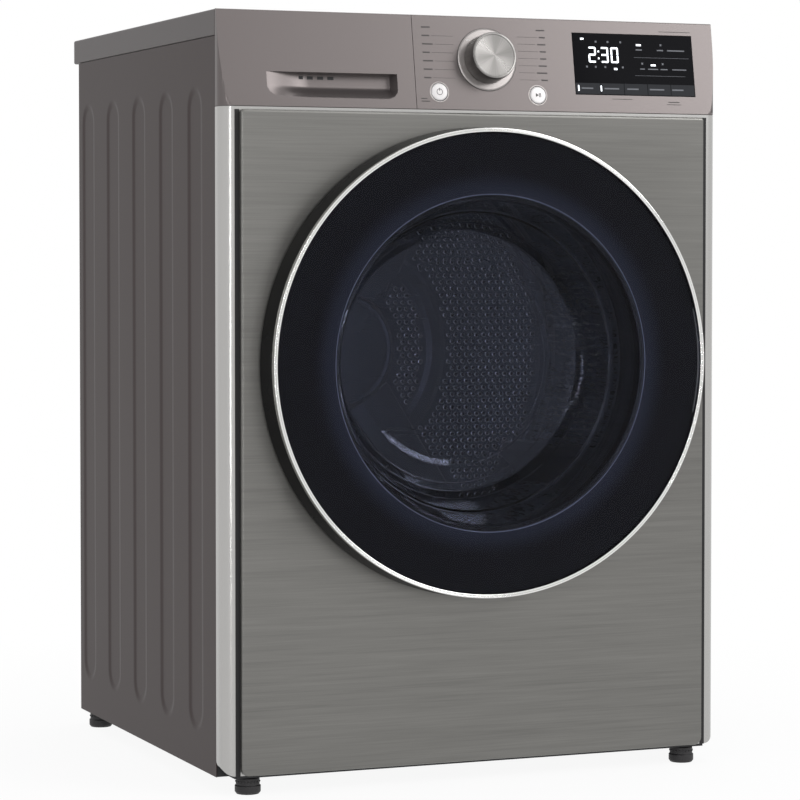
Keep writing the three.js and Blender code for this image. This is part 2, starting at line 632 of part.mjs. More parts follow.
function makeDoorFrame() {
  const front = SLAB_BACK_Y + GAP;
  const web = front + DOOR_WALL;
  const inner = BOWL_RADIUS + BOWL_WALL + 2;
  const rim = DOOR_RADIUS - 2;
  const body = turned([
    [inner, front], [rim, front], [DOOR_FOOT_RADIUS, DOOR_BACK_Y], [DOOR_FOOT_RADIUS - DOOR_WALL, DOOR_BACK_Y],
    [rim - DOOR_WALL, web], [inner + DOOR_WALL, web], [inner + DOOR_WALL, DOOR_BACK_Y - DOOR_WALL - GAP],
    [inner, DOOR_BACK_Y - DOOR_WALL - GAP],
  ]);
  return cut(body, hingeNotch());
}

function makeDoorLiner() {
  const inner = BOWL_RADIUS + BOWL_WALL + 2;
  const outer = DOOR_FOOT_RADIUS - DOOR_WALL - 2 * GAP;
  return cut(ring(inner, outer, DOOR_BACK_Y - DOOR_WALL, DOOR_BACK_Y), hingeNotch());
}

function makeBowl() {
  const front = GLASS_INSET - DOOR_PROUD + GLASS_THICKNESS + GAP;
  const end = BOWL_DEPTH + front;
  const flange = front + BOWL_WALL;
  const rim = BOWL_RADIUS + BOWL_WALL;
  return turned([
    [BOWL_RADIUS, front], [rim + 1.5, front], [rim + 1.5, flange], [BOWL_RADIUS, flange],
    [BOWL_END_RADIUS, end - BOWL_CROWN], [BOWL_END_RADIUS - 10, end - 3], [BOWL_END_RADIUS / 2, end], [0, end],
    [0, end - BOWL_WALL], [BOWL_END_RADIUS / 2, end - BOWL_WALL], [BOWL_END_RADIUS - 14, end - BOWL_CROWN],
    [BOWL_RADIUS - BOWL_WALL, front + 2], [BOWL_RADIUS - BOWL_WALL, front],
  ]);
}

function makeKnuckle() {
  const front = GLASS_INSET - DOOR_PROUD + GLASS_THICKNESS + GAP;
  const half = KNUCKLE_HALF;
  const at = [HINGE_X, HINGE_Y, 0];
  const barrel = disc(KNUCKLE_RADIUS, -half, half, { axis: "z", at, sides: SMALL_ROUND });
  const reach = DOOR_RADIUS - TRIM_WIDTH - 2;
  const leafBlock = box([HINGE_X - KNUCKLE_RADIUS, HINGE_X + 3], [front, HINGE_Y], [-half, half]);
  const bracket = box([HINGE_X - 30, Math.sqrt(reach ** 2 - half ** 2)], [front, front + 2.2], [-half, half]);
  const bore = disc(HINGE_PIN_RADIUS + HINGE_PIN_CLEARANCE, -half - 1, half + 1,
    { axis: "z", at, sides: SMALL_ROUND });
  return cut(join(barrel, leafBlock, bracket), bore);
}

function makeLatchHook() {
  const base = DOOR_BACK_Y + GAP;
  const half = LATCH.half;
  const post = box([LATCH.x - 2.5, LATCH.x + 2.5], [base, LATCH.reach - 3], [-half, half]);
  const foot = box([LATCH.x - 9, LATCH.x + 9], [base, base + 2], [-half - 4, half + 4]);
  return join(post, foot);
}

function makeHingeBracket() {
  const base = -PLATE_PROUD - GAP;
  const { near, far } = HINGE_ROOT;
  const left = HINGE_X - far;
  const right = HINGE_X + HINGE_PIN_RADIUS + 1.5;
  const arm = new THREE.Shape([
    [left, base], [left, HINGE_Y - HINGE_ARM_HALF], [right, HINGE_Y - HINGE_ARM_HALF],
    [right, HINGE_Y + HINGE_ARM_HALF], [HINGE_X - near, HINGE_Y + HINGE_ARM_HALF], [HINGE_X - near, base],
  ].map(([x, y]) => new THREE.Vector2(x, y)));
  const bottom = KNUCKLE_HALF + HINGE_ARM_SIDE_GAP;
  const arms = [-bottom - HINGE_ARM_HEIGHT, bottom].map((z) => column(arm, z, z + HINGE_ARM_HEIGHT));
  const plate = box([left - 4, HINGE_X - near + 4], [base - HINGE_BASE_THICKNESS, base],
    [3 - HINGE_NOTCH_HALF, HINGE_NOTCH_HALF - 3]);
  const half = bottom + HINGE_ARM_HEIGHT;
  const pin = disc(HINGE_PIN_RADIUS, -half, half, { axis: "z", at: [HINGE_X, HINGE_Y, 0], sides: SMALL_ROUND });
  return join(plate, ...arms, pin);
}

add(leaf, "door_trim_ring", makeTrimRing(), 0xd8d8d6, 0.12, 1);
add(leaf, "door_glass", makeDoorGlass(), 0x15151a, 0.05);
add(leaf, "door_frame", makeDoorFrame(), BLACK_PLASTIC, 0.25);
add(leaf, "door_liner", makeDoorLiner(), GREY_PLASTIC, 0.5);
add(leaf, "door_bowl", makeBowl(), 0x9fb0bb, 0.05);
add(leaf, "door_knuckle", makeKnuckle(), GALVANISED, 0.4, 0.9);
add(leaf, "door_latch_hook", makeLatchHook(), 0x2a2a2c, 0.5);
const bracket = add(dryer, "door_hinge_bracket", makeHingeBracket(), GALVANISED, 0.4, 0.9);
bracket.position.z = DOOR_Z;

// ---------------------------------------------------------------- bulkhead, seal and filter
const COLLAR_END = BULKHEAD_Y + BULKHEAD_PLATE + COLLAR_LENGTH;
const ROLLER_CENTRE = DRUM_RADIUS + ROLLER_RUNNING_GAP + ROLLER_RADIUS;
const rollerPlaces = [-1, 1].map((side) => {
  const turn = side * THREE.MathUtils.degToRad(ROLLER_ANGLE);
  return [ROLLER_CENTRE * Math.sin(turn), -ROLLER_CENTRE * Math.cos(turn)];
});
const rollerFront = DRUM_FRONT_Y + 4;
const filterFront = BULKHEAD_Y + BULKHEAD_PLATE + 3;
const filterTop = -OPENING_RADIUS + 3;
const filterBottom = -Math.sqrt((COLLAR_RADIUS - FILTER.collarGap) ** 2 - FILTER.half ** 2);

function makeBulkhead() {
  const seat = BULKHEAD_Y + BULKHEAD_PLATE;
  const half = tubHalf - 1;
  const plate = box([-half, half], [BULKHEAD_Y, seat], [TUB_TOP + GAP - DOOR_Z, FASCIA_BOTTOM - 3 - DOOR_Z]);
  const collar = ring(COLLAR_RADIUS, COLLAR_RADIUS + COLLAR_WALL, seat - 0.5, COLLAR_END);
  const pins = rollerPlaces.map(([x, z]) => disc(ROLLER_PIN_RADIUS, seat - 0.5, rollerFront + ROLLER_WIDTH + 2,
    { at: [x, 0, z], sides: SMALL_ROUND }));
  const shoulders = rollerPlaces.map(([x, z]) => disc(ROLLER_PIN_RADIUS + 3, seat - 0.5, rollerFront - GAP,
    { at: [x, 0, z], sides: SMALL_ROUND }));
  const rails = [-1, 1].map((side) => {
    const edge = side * (FILTER.half + GAP);
    const reach = [Math.min(edge, edge + side * 4), Math.max(edge, edge + side * 4)];
    return box(reach, [seat - 0.5, filterFront + FILTER.depth], [filterBottom, (filterBottom + 3 * filterTop) / 4]);
  });
  const shelf = box([-FILTER.half - 4, FILTER.half + 4], [seat - 0.5, filterFront + FILTER.depth],
    [filterBottom - GAP - 2, filterBottom - GAP]);
  return cut(join(plate, collar, ...pins, ...shoulders, ...rails, shelf),
    disc(OPENING_RADIUS - 5, BULKHEAD_Y - 1, seat + 1));
}

function makeSeal() {
  const front = DOOR_BACK_Y + 2 * GAP;
  const outer = OPENING_RADIUS - 0.7;
  return ring(outer - SEAL_WALL, outer, front, BULKHEAD_Y - GAP);
}

function makeFilter() {
  const { half, depth, wall } = FILTER;
  const gripBottom = (filterBottom + 3 * filterTop) / 4;
  const shell = box([-half, half], [filterFront, filterFront + depth], [filterBottom, filterTop]);
  const pocket = box([wall - half, half - wall], [filterFront + wall, filterFront + depth - wall],
    [filterBottom + wall, filterTop + 1]);
  const grip = box([25 - half, half - 25], [filterFront + 4, filterFront + depth + 1], [gripBottom, filterTop + 1]);
  return cut(shell, pocket, grip);
}

function makeLamp() {
  const seat = BULKHEAD_Y + BULKHEAD_PLATE + GAP;
  const radius = (OPENING_RADIUS + COLLAR_RADIUS) / 2;
  const turn = THREE.MathUtils.degToRad(55);
  const at = [radius * Math.cos(turn), 0, radius * Math.sin(turn)];
  const lens = LAMP_SHARE * (COLLAR_RADIUS - OPENING_RADIUS);
  return turned([[0, seat], [lens, seat], [lens, seat + 10], [lens - 2, seat + 16], [0, seat + 17]],
    { at, sides: SMALL_ROUND });
}

const opening = addGroup(dryer, 0, 0, DOOR_Z); // origin: the drum axis
add(opening, "front_bulkhead", makeBulkhead(), GALVANISED, 0.5, 0.6);
add(opening, "door_seal", makeSeal(), 0x3b3b3d, 0.85);
add(opening, "lint_filter", makeFilter(), 0xc9cbc8, 0.6);
add(opening, "drum_lamp", makeLamp(), 0xf3efe2, 0.3);

// ---------------------------------------------------------------- drum
const drum = addGroup(opening, 0, 0, 0); // turns about its own y axis

function makeDrumShell() {
  return ring(DRUM_RADIUS - DRUM_WALL, DRUM_RADIUS, DRUM_FRONT_Y, DRUM_REAR_Y);
}

function makeDrumRear() {
  const rim = DRUM_RADIUS - DRUM_WALL - GAP;
  const back = DRUM_REAR_Y;
  const face = back - 6;
  const hub = 75;
  const boss = DRUM_SHAFT_RADIUS + 12;
  return turned([
    [0, face - 14], [hub - 8, face - 14], [hub, face], [rim, face], [rim, back], [rim - 1.5, back],
    [rim - 1.5, face + 1.5], [hub - 1, face + 1.5], [hub - 9, face - 12], [boss, face - 12], [boss, back],
    [0, back],
  ]);
}

function makeLifter() {
  const foot = -Math.sqrt((DRUM_RADIUS - DRUM_WALL - GAP - 1) ** 2 - (LIFTER_BASE / 2) ** 2);
  const section = new THREE.Shape([
    [-LIFTER_BASE / 2, foot], [LIFTER_BASE / 2, foot], [LIFTER_TOP, foot + 14],
    [LIFTER_TOP / 2, foot + LIFTER_HEIGHT], [-LIFTER_TOP / 2, foot + LIFTER_HEIGHT], [-LIFTER_TOP, foot + 14],
  ].map(([x, z]) => new THREE.Vector2(x, z)));
  return panel(section, DRUM_FRONT_Y + LIFTER_END_GAP, DRUM_REAR_Y - 12 - LIFTER_END_GAP);
}

function makeDrumShaft() {
  return disc(DRUM_SHAFT_RADIUS, DRUM_REAR_Y + GAP, DUCT.plate + DUCT.skin + 12, { sides: SMALL_ROUND });
}

const DUCT = { radius: DRUM_RADIUS - 14, wall: 3, front: DRUM_REAR_Y + 8, plate: 480, skin: 3, hub: 30, bearing: 22 };

function makeRearDuct() {
  const back = REAR_Y - SHEET - GAP;
  const { radius, wall, front, plate, skin, hub, bearing } = DUCT;
  const bore = bearing + GAP;
  const dish = turned([
    [bore, plate - 20], [hub, plate - 20], [hub, plate], [radius - wall, plate], [radius - wall, front],
    [radius, front], [radius, back], [radius - wall, back], [radius - wall, plate + skin], [bore, plate + skin],
  ]);
  const chute = { half: 70, top: -radius + 40, bottom: FLOOR_Z + 60 - DOOR_Z };
  const outer = box([-chute.half, chute.half], [front, plate + skin], [chute.bottom, chute.top]);
  const inner = box([-chute.half + wall, chute.half - wall], [front - 1, plate], [chute.bottom - 1, chute.top + 1]);
  const window = box([-chute.half + wall, chute.half - wall], [front + 3, plate], [-radius - 1, chute.top]);
  return join(cut(dish, window), cut(outer, inner, disc(radius - 1, front - 1, plate + skin + 1)));
}

function makeRearBearing() {
  return ring(DRUM_SHAFT_RADIUS + GAP, DUCT.bearing, DUCT.plate - 18, DUCT.plate - 2, { sides: 28 });
}

add(drum, "drum_shell", makeDrumShell(), 0xb4b6b8, 0.3, 0.9);
add(drum, "drum_rear_wall", makeDrumRear(), 0xb4b6b8, 0.3, 0.9);
for (let i = 0; i < LIFTERS; i += 1) {
  const lifter = add(drum, `drum_lifter_${i + 1}`, makeLifter(), 0x9a9ca0, 0.5);
  lifter.rotation.y = THREE.MathUtils.degToRad(60 + (i * 360) / LIFTERS);
}
add(drum, "drum_shaft", makeDrumShaft(), GALVANISED, 0.3, 0.9);
add(opening, "rear_duct", makeRearDuct(), GALVANISED, 0.5, 0.7);
add(opening, "rear_bearing", makeRearBearing(), 0x55565a, 0.35, 0.9);
["left", "right"].forEach((side, i) => {
  const roller = add(opening, `drum_roller_${side}`,
    ring(ROLLER_PIN_RADIUS + GAP, ROLLER_RADIUS, 0, ROLLER_WIDTH, { sides: 32 }), 0x3a3a3c, 0.7);
  const [x, z] = rollerPlaces[i];
  roller.position.set(x, rollerFront, z);
});

// ---------------------------------------------------------------- drive
const motorSeat = { front: MOTOR.front - GAP, rear: MOTOR.rear + GAP };

function makeMotor() {
  const { x, z, radius, front, rear } = MOTOR;
  const body = turned([[0, front], [24, front], [24, front + 8], [radius, front + 8], [radius, rear - 8],
    [24, rear - 8], [24, rear], [0, rear]], { at: [x, 0, z], sides: 28 });
  const foot = box([x - radius + 6, x + radius - 6], [front + 20, rear - 20], [SHELF_Z, z - radius / 2]);
  return join(body, foot);
}

// Each circle is [x, z, radius]; the belt runs round the outside of them all, anticlockwise.
function beltOutline(circles, grow) {
  const shape = [];
  circles.forEach(([x, z, r], i) => {
    const [xb, zb, rb] = circles[(i + circles.length - 1) % circles.length];
    const [xn, zn, rn] = circles[(i + 1) % circles.length];
    const tangent = (x1, z1, r1, x2, z2, r2) =>
      Math.atan2(z2 - z1, x2 - x1) - Math.acos((r1 - r2) / Math.hypot(x2 - x1, z2 - z1));
    const from = tangent(xb, zb, rb, x, z, r);
    let to = tangent(x, z, r, xn, zn, rn);
    while (to < from) to += 2 * Math.PI;
    const steps = Math.max(3, Math.ceil((to - from) / 0.12));
    for (let k = 0; k <= steps; k += 1) {
      const turn = from + ((to - from) * k) / steps;
      shape.push(new THREE.Vector2(x + (r + grow) * Math.cos(turn), z + (r + grow) * Math.sin(turn)));
    }
  });
  return new THREE.Shape(shape);
}

function makeBelt() {
  const facets = 1 / Math.cos(0.06); // keeps the flats of the outline clear of the round pieces
  const circles = [
    [0, DOOR_Z, DRUM_RADIUS * facets + GAP],
    [IDLER.x, IDLER.z, IDLER.radius * facets + GAP],
    [MOTOR.x, MOTOR.z, MOTOR_PULLEY_RADIUS * facets + GAP],
  ];
  const y0 = BELT_Y - BELT_WIDTH / 2;
  return cut(
    panel(beltOutline(circles, BELT_THICKNESS), y0, y0 + BELT_WIDTH),
    panel(beltOutline(circles, 0), y0 - 1, y0 + BELT_WIDTH + 1),
  );
}

function makeMotorPulley() {
  const half = BELT_WIDTH / 2 + 1;
  const rim = MOTOR_PULLEY_RADIUS + 3;
  return turned([
    [0, BELT_Y - half - 2], [rim, BELT_Y - half - 2], [rim, BELT_Y - half], [MOTOR_PULLEY_RADIUS, BELT_Y - half],
    [MOTOR_PULLEY_RADIUS, BELT_Y + half], [rim, BELT_Y + half], [rim, BELT_Y + half + 2],
    [MOTOR_SHAFT_RADIUS, BELT_Y + half + 2], [MOTOR_SHAFT_RADIUS, motorSeat.front], [0, motorSeat.front],
  ], { sides: SMALL_ROUND });
}

function makeFanWheel() {
  const { radius, front, width, blades } = FAN;
  const back = front + width;
  const hub = disc(14, front + 4, back, { sides: SMALL_ROUND });
  const plate = disc(radius, back - 2.5, back, { sides: 28 });
  const shaft = disc(MOTOR_SHAFT_RADIUS, motorSeat.rear, front + 5, { sides: SMALL_ROUND });
  const vanes = [...Array(blades).keys()].map((i) => {
    const turn = new THREE.Matrix4().makeRotationY((i * 2 * Math.PI) / blades);
    return box([12, radius - 1], [front + 4, back - 2], [-1, 1], turn);
  });
  return join(hub, plate, shaft, ...vanes);
}

function makeFanHousing() {
  const { radius, front, width } = FAN;
  const inside = radius + FAN_CLEARANCE;
  const outside = inside + FAN_HOUSING_WALL;
  const y0 = front - FAN_CLEARANCE;
  const y1 = front + width + FAN_CLEARANCE;
  const at = [MOTOR.x, 0, MOTOR.z];
  const shell = turned([
    [30, y0 - FAN_HOUSING_WALL], [outside, y0 - FAN_HOUSING_WALL], [outside, y1 + FAN_HOUSING_WALL],
    [0, y1 + FAN_HOUSING_WALL], [0, y1], [inside, y1], [inside, y0], [30, y0],
  ], { at, sides: 28 });
  const foot = box([MOTOR.x - 40, MOTOR.x + 40], [y0, y1], [SHELF_Z, MOTOR.z - inside + 6]);
  const trimmed = cut(foot, disc(inside + 1, y0 - 1, y1 + 1, { at, sides: 28 }));
  return join(shell, trimmed);
}

const ARM_PIVOT = { x: 96, z: 62 };

function makeIdlerArm() {
  const y1 = BELT_Y - BELT_WIDTH / 2 - 3;
  const y0 = y1 - 4;
  const dx = IDLER.x - ARM_PIVOT.x;
  const dz = IDLER.z - ARM_PIVOT.z;
  const turn = new THREE.Matrix4().makeRotationY(-Math.atan2(dz, dx));
  const length = Math.hypot(dx, dz);
  const bar = box([0, length], [y0, y1], [-8, 8], turn);
  const ends = [[0, 0], [dx, dz]].map(([x, z]) => disc(10, y0, y1, { at: [x, 0, z], sides: SMALL_ROUND }));
  const pin = disc(5, y0, y1 + BELT_WIDTH + 6, { at: [dx, 0, dz], sides: SMALL_ROUND });
  const bore = disc(6 + GAP, y0 - 1, y1 + 1, { sides: SMALL_ROUND });
  return cut(join(bar, ...ends, pin), bore);
}

function makeIdlerPost() {
  const y1 = BELT_Y - BELT_WIDTH / 2 - 3;
  const at = [ARM_PIVOT.x, 0, ARM_PIVOT.z];
  const pin = disc(6, y1 - 8, y1 + 28, { at, sides: SMALL_ROUND });
  const shoulder = disc(10, y1 + GAP, y1 + 28, { at, sides: SMALL_ROUND });
  const stand = box([ARM_PIVOT.x - 14, ARM_PIVOT.x + 14], [y1 + 14, y1 + 28], [SHELF_Z, ARM_PIVOT.z]);
  return join(pin, shoulder, stand);
}

function makeIdlerPulley() {
  return ring(5 + GAP, IDLER.radius, BELT_Y - BELT_WIDTH / 2 - 1.5, BELT_Y + BELT_WIDTH / 2 + 1, { sides: 32 });
}

add(dryer, "drive_motor", makeMotor(), 0x4a4c50, 0.5, 0.6);
add(dryer, "drive_belt", makeBelt(), 0x1b1b1c, 0.8);
const rotor = addGroup(dryer, MOTOR.x, 0, MOTOR.z); // turns about its own y axis
add(rotor, "motor_pulley", makeMotorPulley(), 0x8b8d90, 0.4, 0.9);
add(rotor, "fan_wheel", makeFanWheel(), 0x2d2e30, 0.6);
add(dryer, "fan_housing", makeFanHousing(), 0x3c3d40, 0.7);
const idlerArm = add(dryer, "idler_arm", makeIdlerArm(), GALVANISED, 0.4, 0.9);
idlerArm.position.set(ARM_PIVOT.x, 0, ARM_PIVOT.z);
add(dryer, "idler_post", makeIdlerPost(), GALVANISED, 0.4, 0.9);
const idlerPulley = add(dryer, "idler_pulley", makeIdlerPulley(), 0xd4d2cc, 0.5);
idlerPulley.position.set(IDLER.x, 0, IDLER.z);

// ---------------------------------------------------------------- heat pump
const COMPRESSOR = { x: -215, y: 400, radius: 58, height: 165, feet: 12 };
const EXCHANGER = { left: -125, right: 5, bottom: SHELF_Z, top: TUB_TOP - 6 };
const EVAPORATOR_Y = [70, 150];
const CONDENSER_Y = [190, 330];
const PUMP = { x: -215, y: 110, radius: 30, height: 70 };

function makeCompressor() {
  const { x, y, radius, height, feet: gap } = COMPRESSOR;
  const bottom = SHELF_Z + gap;
  const top = bottom + height;
  const can = turned([
    [0, bottom], [radius - 14, bottom], [radius, bottom + 12], [radius, top - 24], [radius - 12, top - 7],
    [20, top], [0, top],
  ], { axis: "z", at: [x, y, 0], sides: 28 });
  const plate = box([x - radius, x + radius], [y - radius, y + radius], [bottom - 3, bottom + 4]);
  const pads = [[-1, -1], [-1, 1], [1, -1], [1, 1]].map(([i, k]) => disc(10, SHELF_Z, bottom + 1,
    { axis: "z", at: [x + i * (radius - 12), y + k * (radius - 12), 0], sides: 16 }));
  return join(can, plate, ...pads);
}

function makeExchanger([y0, y1]) {
  const { left, right, bottom, top } = EXCHANGER;
  const core = box([left + 8, right - 8], [y0, y1], [bottom + 2, top - 2]);
  const ends = [[left, left + 6], [right - 6, right]].map((x) => box(x, [y0, y1], [bottom, top]));
  const tubes = [...Array(3).keys()].map((i) => disc(5, left - 9, right + 9, {
    axis: "x",
    at: [0, (y0 + y1) / 2, bottom + 30 + i * 40],
    sides: 8,
  }));
  return join(core, ...ends, ...tubes);
}

function makePipe() {
  const radius = 5;
  const start = SHELF_Z + COMPRESSOR.feet + COMPRESSOR.height;
  const rise = start + 40;
  const { x, y } = COMPRESSOR;
  const endX = EXCHANGER.left + 20;
  const endY = CONDENSER_Y[1] + 2 * GAP;
  return tube([
    [x, y, start + GAP], [x, y, start + 25], [x + 12, y - 2, rise], [x + 50, y - 12, rise - 14],
    [x + 82, y - 20, rise - 60], [endX, y - 26, rise - 95], [endX, y - 42, rise - 108], [endX, endY, rise - 110],
  ], radius, 28);
}

function makePump() {
  const { x, y, radius, height } = PUMP;
  const body = disc(radius, SHELF_Z, SHELF_Z + height, { axis: "z", at: [x, y, 0], sides: SMALL_ROUND });
  const motor = disc(18, SHELF_Z + height - 1, SHELF_Z + height + 24,
    { axis: "z", at: [x, y, 0], sides: SMALL_ROUND });
  const spout = disc(8, x + radius - 3, x + radius + 26,
    { axis: "x", at: [0, y, SHELF_Z + 16], sides: 16 });
  return join(body, motor, spout);
}

add(dryer, "compressor", makeCompressor(), 0x1e1f21, 0.5, 0.5);
add(dryer, "evaporator", makeExchanger(EVAPORATOR_Y), 0xb7babd, 0.4, 0.9);
add(dryer, "condenser", makeExchanger(CONDENSER_Y), 0xb7babd, 0.4, 0.9);
add(dryer, "refrigerant_pipe", makePipe(), 0xb06f45, 0.35, 1);
add(dryer, "drain_pump", makePump(), 0x3c3d40, 0.6);

export default dryer;
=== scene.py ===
# %% [markdown]
# # A heat-pump clothes dryer
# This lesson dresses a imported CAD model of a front-loading dryer. The CAD solids give the sizes, the
# joints and everything that moves; here each visible piece gets its fine surface and its finish.
# We work in metres, +Z up, and the dryer looks towards -Y. Every piece is built at its final place,
# with its object at the origin, so that patterns in Object coordinates stay put.

# %% Load the frame
import math
import random

import bmesh
import bpy
from mathutils import Matrix, Vector


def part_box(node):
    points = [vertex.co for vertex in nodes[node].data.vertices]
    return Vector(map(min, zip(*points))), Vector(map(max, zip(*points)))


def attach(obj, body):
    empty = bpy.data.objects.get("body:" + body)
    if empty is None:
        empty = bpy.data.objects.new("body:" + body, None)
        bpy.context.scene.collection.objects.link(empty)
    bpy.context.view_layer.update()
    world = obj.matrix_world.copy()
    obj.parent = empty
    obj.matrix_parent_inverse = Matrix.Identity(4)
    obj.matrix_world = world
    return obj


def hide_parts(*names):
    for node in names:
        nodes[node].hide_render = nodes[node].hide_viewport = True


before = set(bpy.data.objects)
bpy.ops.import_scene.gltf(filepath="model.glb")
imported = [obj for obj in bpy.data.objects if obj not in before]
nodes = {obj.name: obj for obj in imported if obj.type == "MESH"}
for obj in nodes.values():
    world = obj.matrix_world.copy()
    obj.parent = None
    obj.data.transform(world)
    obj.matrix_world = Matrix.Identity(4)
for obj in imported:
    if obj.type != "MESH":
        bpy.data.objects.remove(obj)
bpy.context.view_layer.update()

# %% [markdown]
# ## Reading sizes from the frame
# The front frame's plane, the door's axis and the fascia are read from the CAD boxes. Lengths are written
# in millimetres, and `box_mm` gives a CAD box in them, with y counted from the plane of the front frame.
# `FRONT` takes such a place to the world, and `at` does both steps for one point.

# %% Reference places
MM = 0.001
front_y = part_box("front_frame")[0].y
FRONT = Matrix.Translation((0, front_y, 0))


def box_mm(node):
    return [(corner - FRONT.translation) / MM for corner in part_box(node)]


def at(x, y, z):
    return FRONT @ (Vector((x, y, z)) * MM)


def round_axis(node):
    """The point of the front frame's plane that lies on a round node's axis, in metres."""
    low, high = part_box(node)
    return ((low.x + high.x) / 2, front_y, (low.z + high.z) / 2)


frame_low, frame_high = box_mm("front_frame")
half_width, base = frame_high.x, frame_high.z
top = box_mm("worktop")[1].z
DOOR_AXIS, DRUM_AXIS = round_axis("door_trim_ring"), round_axis("drum_shell")
door_z = DOOR_AXIS[2] / MM
print("front plane", round(front_y, 4), "door axis", [round(v, 4) for v in DOOR_AXIS])

# %% [markdown]
# ## Camera, light and floor
# The camera stands low and to the left, with a long lens, so the uprights stay upright. The room is a
# white studio: a white world, two soft lamps, one over the top and a thin strip, all at a plain level. The
# floor is seen white by the camera but keeps the shadow.

# %% Camera
CAMERA_TILT, CAMERA_TURN = 1.998, 22.313  # degrees: how far it looks down, and round to the right
scene = bpy.context.scene
camera_data = bpy.data.cameras.new("camera")
camera_data.lens = 133.19
camera_data.sensor_width = 36.0
camera_data.shift_y = -0.06
camera = bpy.data.objects.new("camera", camera_data)
camera.location = (-1.3271, front_y - 3.0063, 0.5918)
camera.rotation_euler = (math.radians(90 - CAMERA_TILT), 0, math.radians(-CAMERA_TURN))
scene.collection.objects.link(camera)
scene.camera = camera
scene.view_settings.view_transform = "Standard"
print("camera", [round(v, 3) for v in camera.location])

# %% Node helpers
def put(tree, kind, **settings):
    node = tree.nodes.new(kind)
    for key, value in settings.items():
        setattr(node, key, value)
    return node


def math_node(tree, operation, first, second=None, clamp=False):
    node = put(tree, "ShaderNodeMath", operation=operation, use_clamp=clamp)
    for index, value in enumerate((first, second)):
        if value is None:
            continue
        if isinstance(value, (int, float)):
            node.inputs[index].default_value = value
        else:
            tree.links.new(value, node.inputs[index])
    return node.outputs[0]


def join_up(tree, *pairs):
    for source, target in pairs:
        tree.links.new(source, target)


# %% Lamps and world
def area_lamp(name, place, target, size, power):
    data = bpy.data.lights.new(name, "AREA")
    data.shape = "RECTANGLE"
    data.size, data.size_y = size
    data.energy = power
    lamp = bpy.data.objects.new(name, data)
    lamp.location = place
    aim = Vector(target) - Vector(place)
    lamp.rotation_euler = aim.to_track_quat("-Z", "Y").to_euler()
    scene.collection.objects.link(lamp)


area_lamp("key_lamp", (2.2, -2.6, 2.2), (0.1, 0, 0.5), (1.6, 1.6), 55)
area_lamp("fill_lamp", (-2.6, -1.4, 2.1), (0, 0, 0.6), (1.4, 1.6), 5)
area_lamp("strip_lamp", (-1.0, -2.6, 0.9), (0, 0, 0.45), (0.05, 1.7), 8)
area_lamp("top_lamp", (0.2, 0.4, 2.8), (0, 0, 0.6), (2.2, 1.6), 22)


def white_to_camera(tree):
    """One for rays from the camera, off metal or through glass, and nought for the rest."""
    path = put(tree, "ShaderNodeLightPath")
    seen = path.outputs["Is Camera Ray"]
    for label in ("Is Glossy Ray", "Is Transmission Ray"):
        seen = math_node(tree, "MAXIMUM", seen, path.outputs[label])
    return seen


world = bpy.data.worlds.new("studio")
scene.world = world
world.use_nodes = True
tree = world.node_tree
tree.nodes.clear()
plain, white = put(tree, "ShaderNodeBackground"), put(tree, "ShaderNodeBackground")
for background, colour, strength in ((plain, (0.80, 0.81, 0.84, 1), 0.62), (white, (1, 1, 1, 1), 1.0)):
    background.inputs["Color"].default_value = colour
    background.inputs["Strength"].default_value = strength
mix, output = put(tree, "ShaderNodeMixShader"), put(tree, "ShaderNodeOutputWorld")
join_up(tree, (white_to_camera(tree), mix.inputs["Fac"]), (plain.outputs[0], mix.inputs[1]),
        (white.outputs[0], mix.inputs[2]), (mix.outputs[0], output.inputs["Surface"]))

# %% Floor
FLOOR_REACH = 6.0
SHADOW_NEAR, SHADOW_FAR, SHADOW_WHITE = 0.35, 1.1, 0.92  # metres from the middle, and how white it is near
floor_mesh = bpy.data.meshes.new("floor")
floor_corners = [(x * FLOOR_REACH, y * FLOOR_REACH, 0) for x, y in ((-1, -1), (1, -1), (1, 1), (-1, 1))]
floor_mesh.from_pydata(floor_corners, [], [(0, 1, 2, 3)])
floor = bpy.data.objects.new("floor", floor_mesh)
scene.collection.objects.link(floor)
floor_paint = bpy.data.materials.new("floor_white")
floor_paint.use_nodes = True
tree = floor_paint.node_tree
shader = tree.nodes["Principled BSDF"]
shader.inputs["Base Color"].default_value = (0.93, 0.93, 0.93, 1)
shader.inputs["Roughness"].default_value = 0.9
glow, mix = put(tree, "ShaderNodeEmission"), put(tree, "ShaderNodeMixShader")
glow.inputs["Color"].default_value = (1, 1, 1, 1)
place, distance = put(tree, "ShaderNodeTexCoord"), put(tree, "ShaderNodeVectorMath", operation="LENGTH")
whiter = put(tree, "ShaderNodeMapRange")
whiter.inputs["From Min"].default_value = SHADOW_NEAR
whiter.inputs["From Max"].default_value = SHADOW_FAR
whiter.inputs["To Min"].default_value = SHADOW_WHITE
join_up(tree, (place.outputs["Object"], distance.inputs[0]),
        (distance.outputs["Value"], whiter.inputs["Value"]))
weight = math_node(tree, "MULTIPLY", white_to_camera(tree), whiter.outputs["Result"])
join_up(tree, (weight, mix.inputs["Fac"]), (shader.outputs[0], mix.inputs[1]), (glow.outputs[0], mix.inputs[2]),
        (mix.outputs[0], tree.nodes["Material Output"].inputs["Surface"]))
floor_mesh.materials.append(floor_paint)
print("studio ready")

# %% [markdown]
# ## Surface effects
# Brushed steel, metallic paint and moulded plastic each need a fine pattern. Each pattern is a shader
# node group with named inputs and outputs. A group only puts out heights and masks; the shader itself
# stays in the material, so that the exporter can read it.

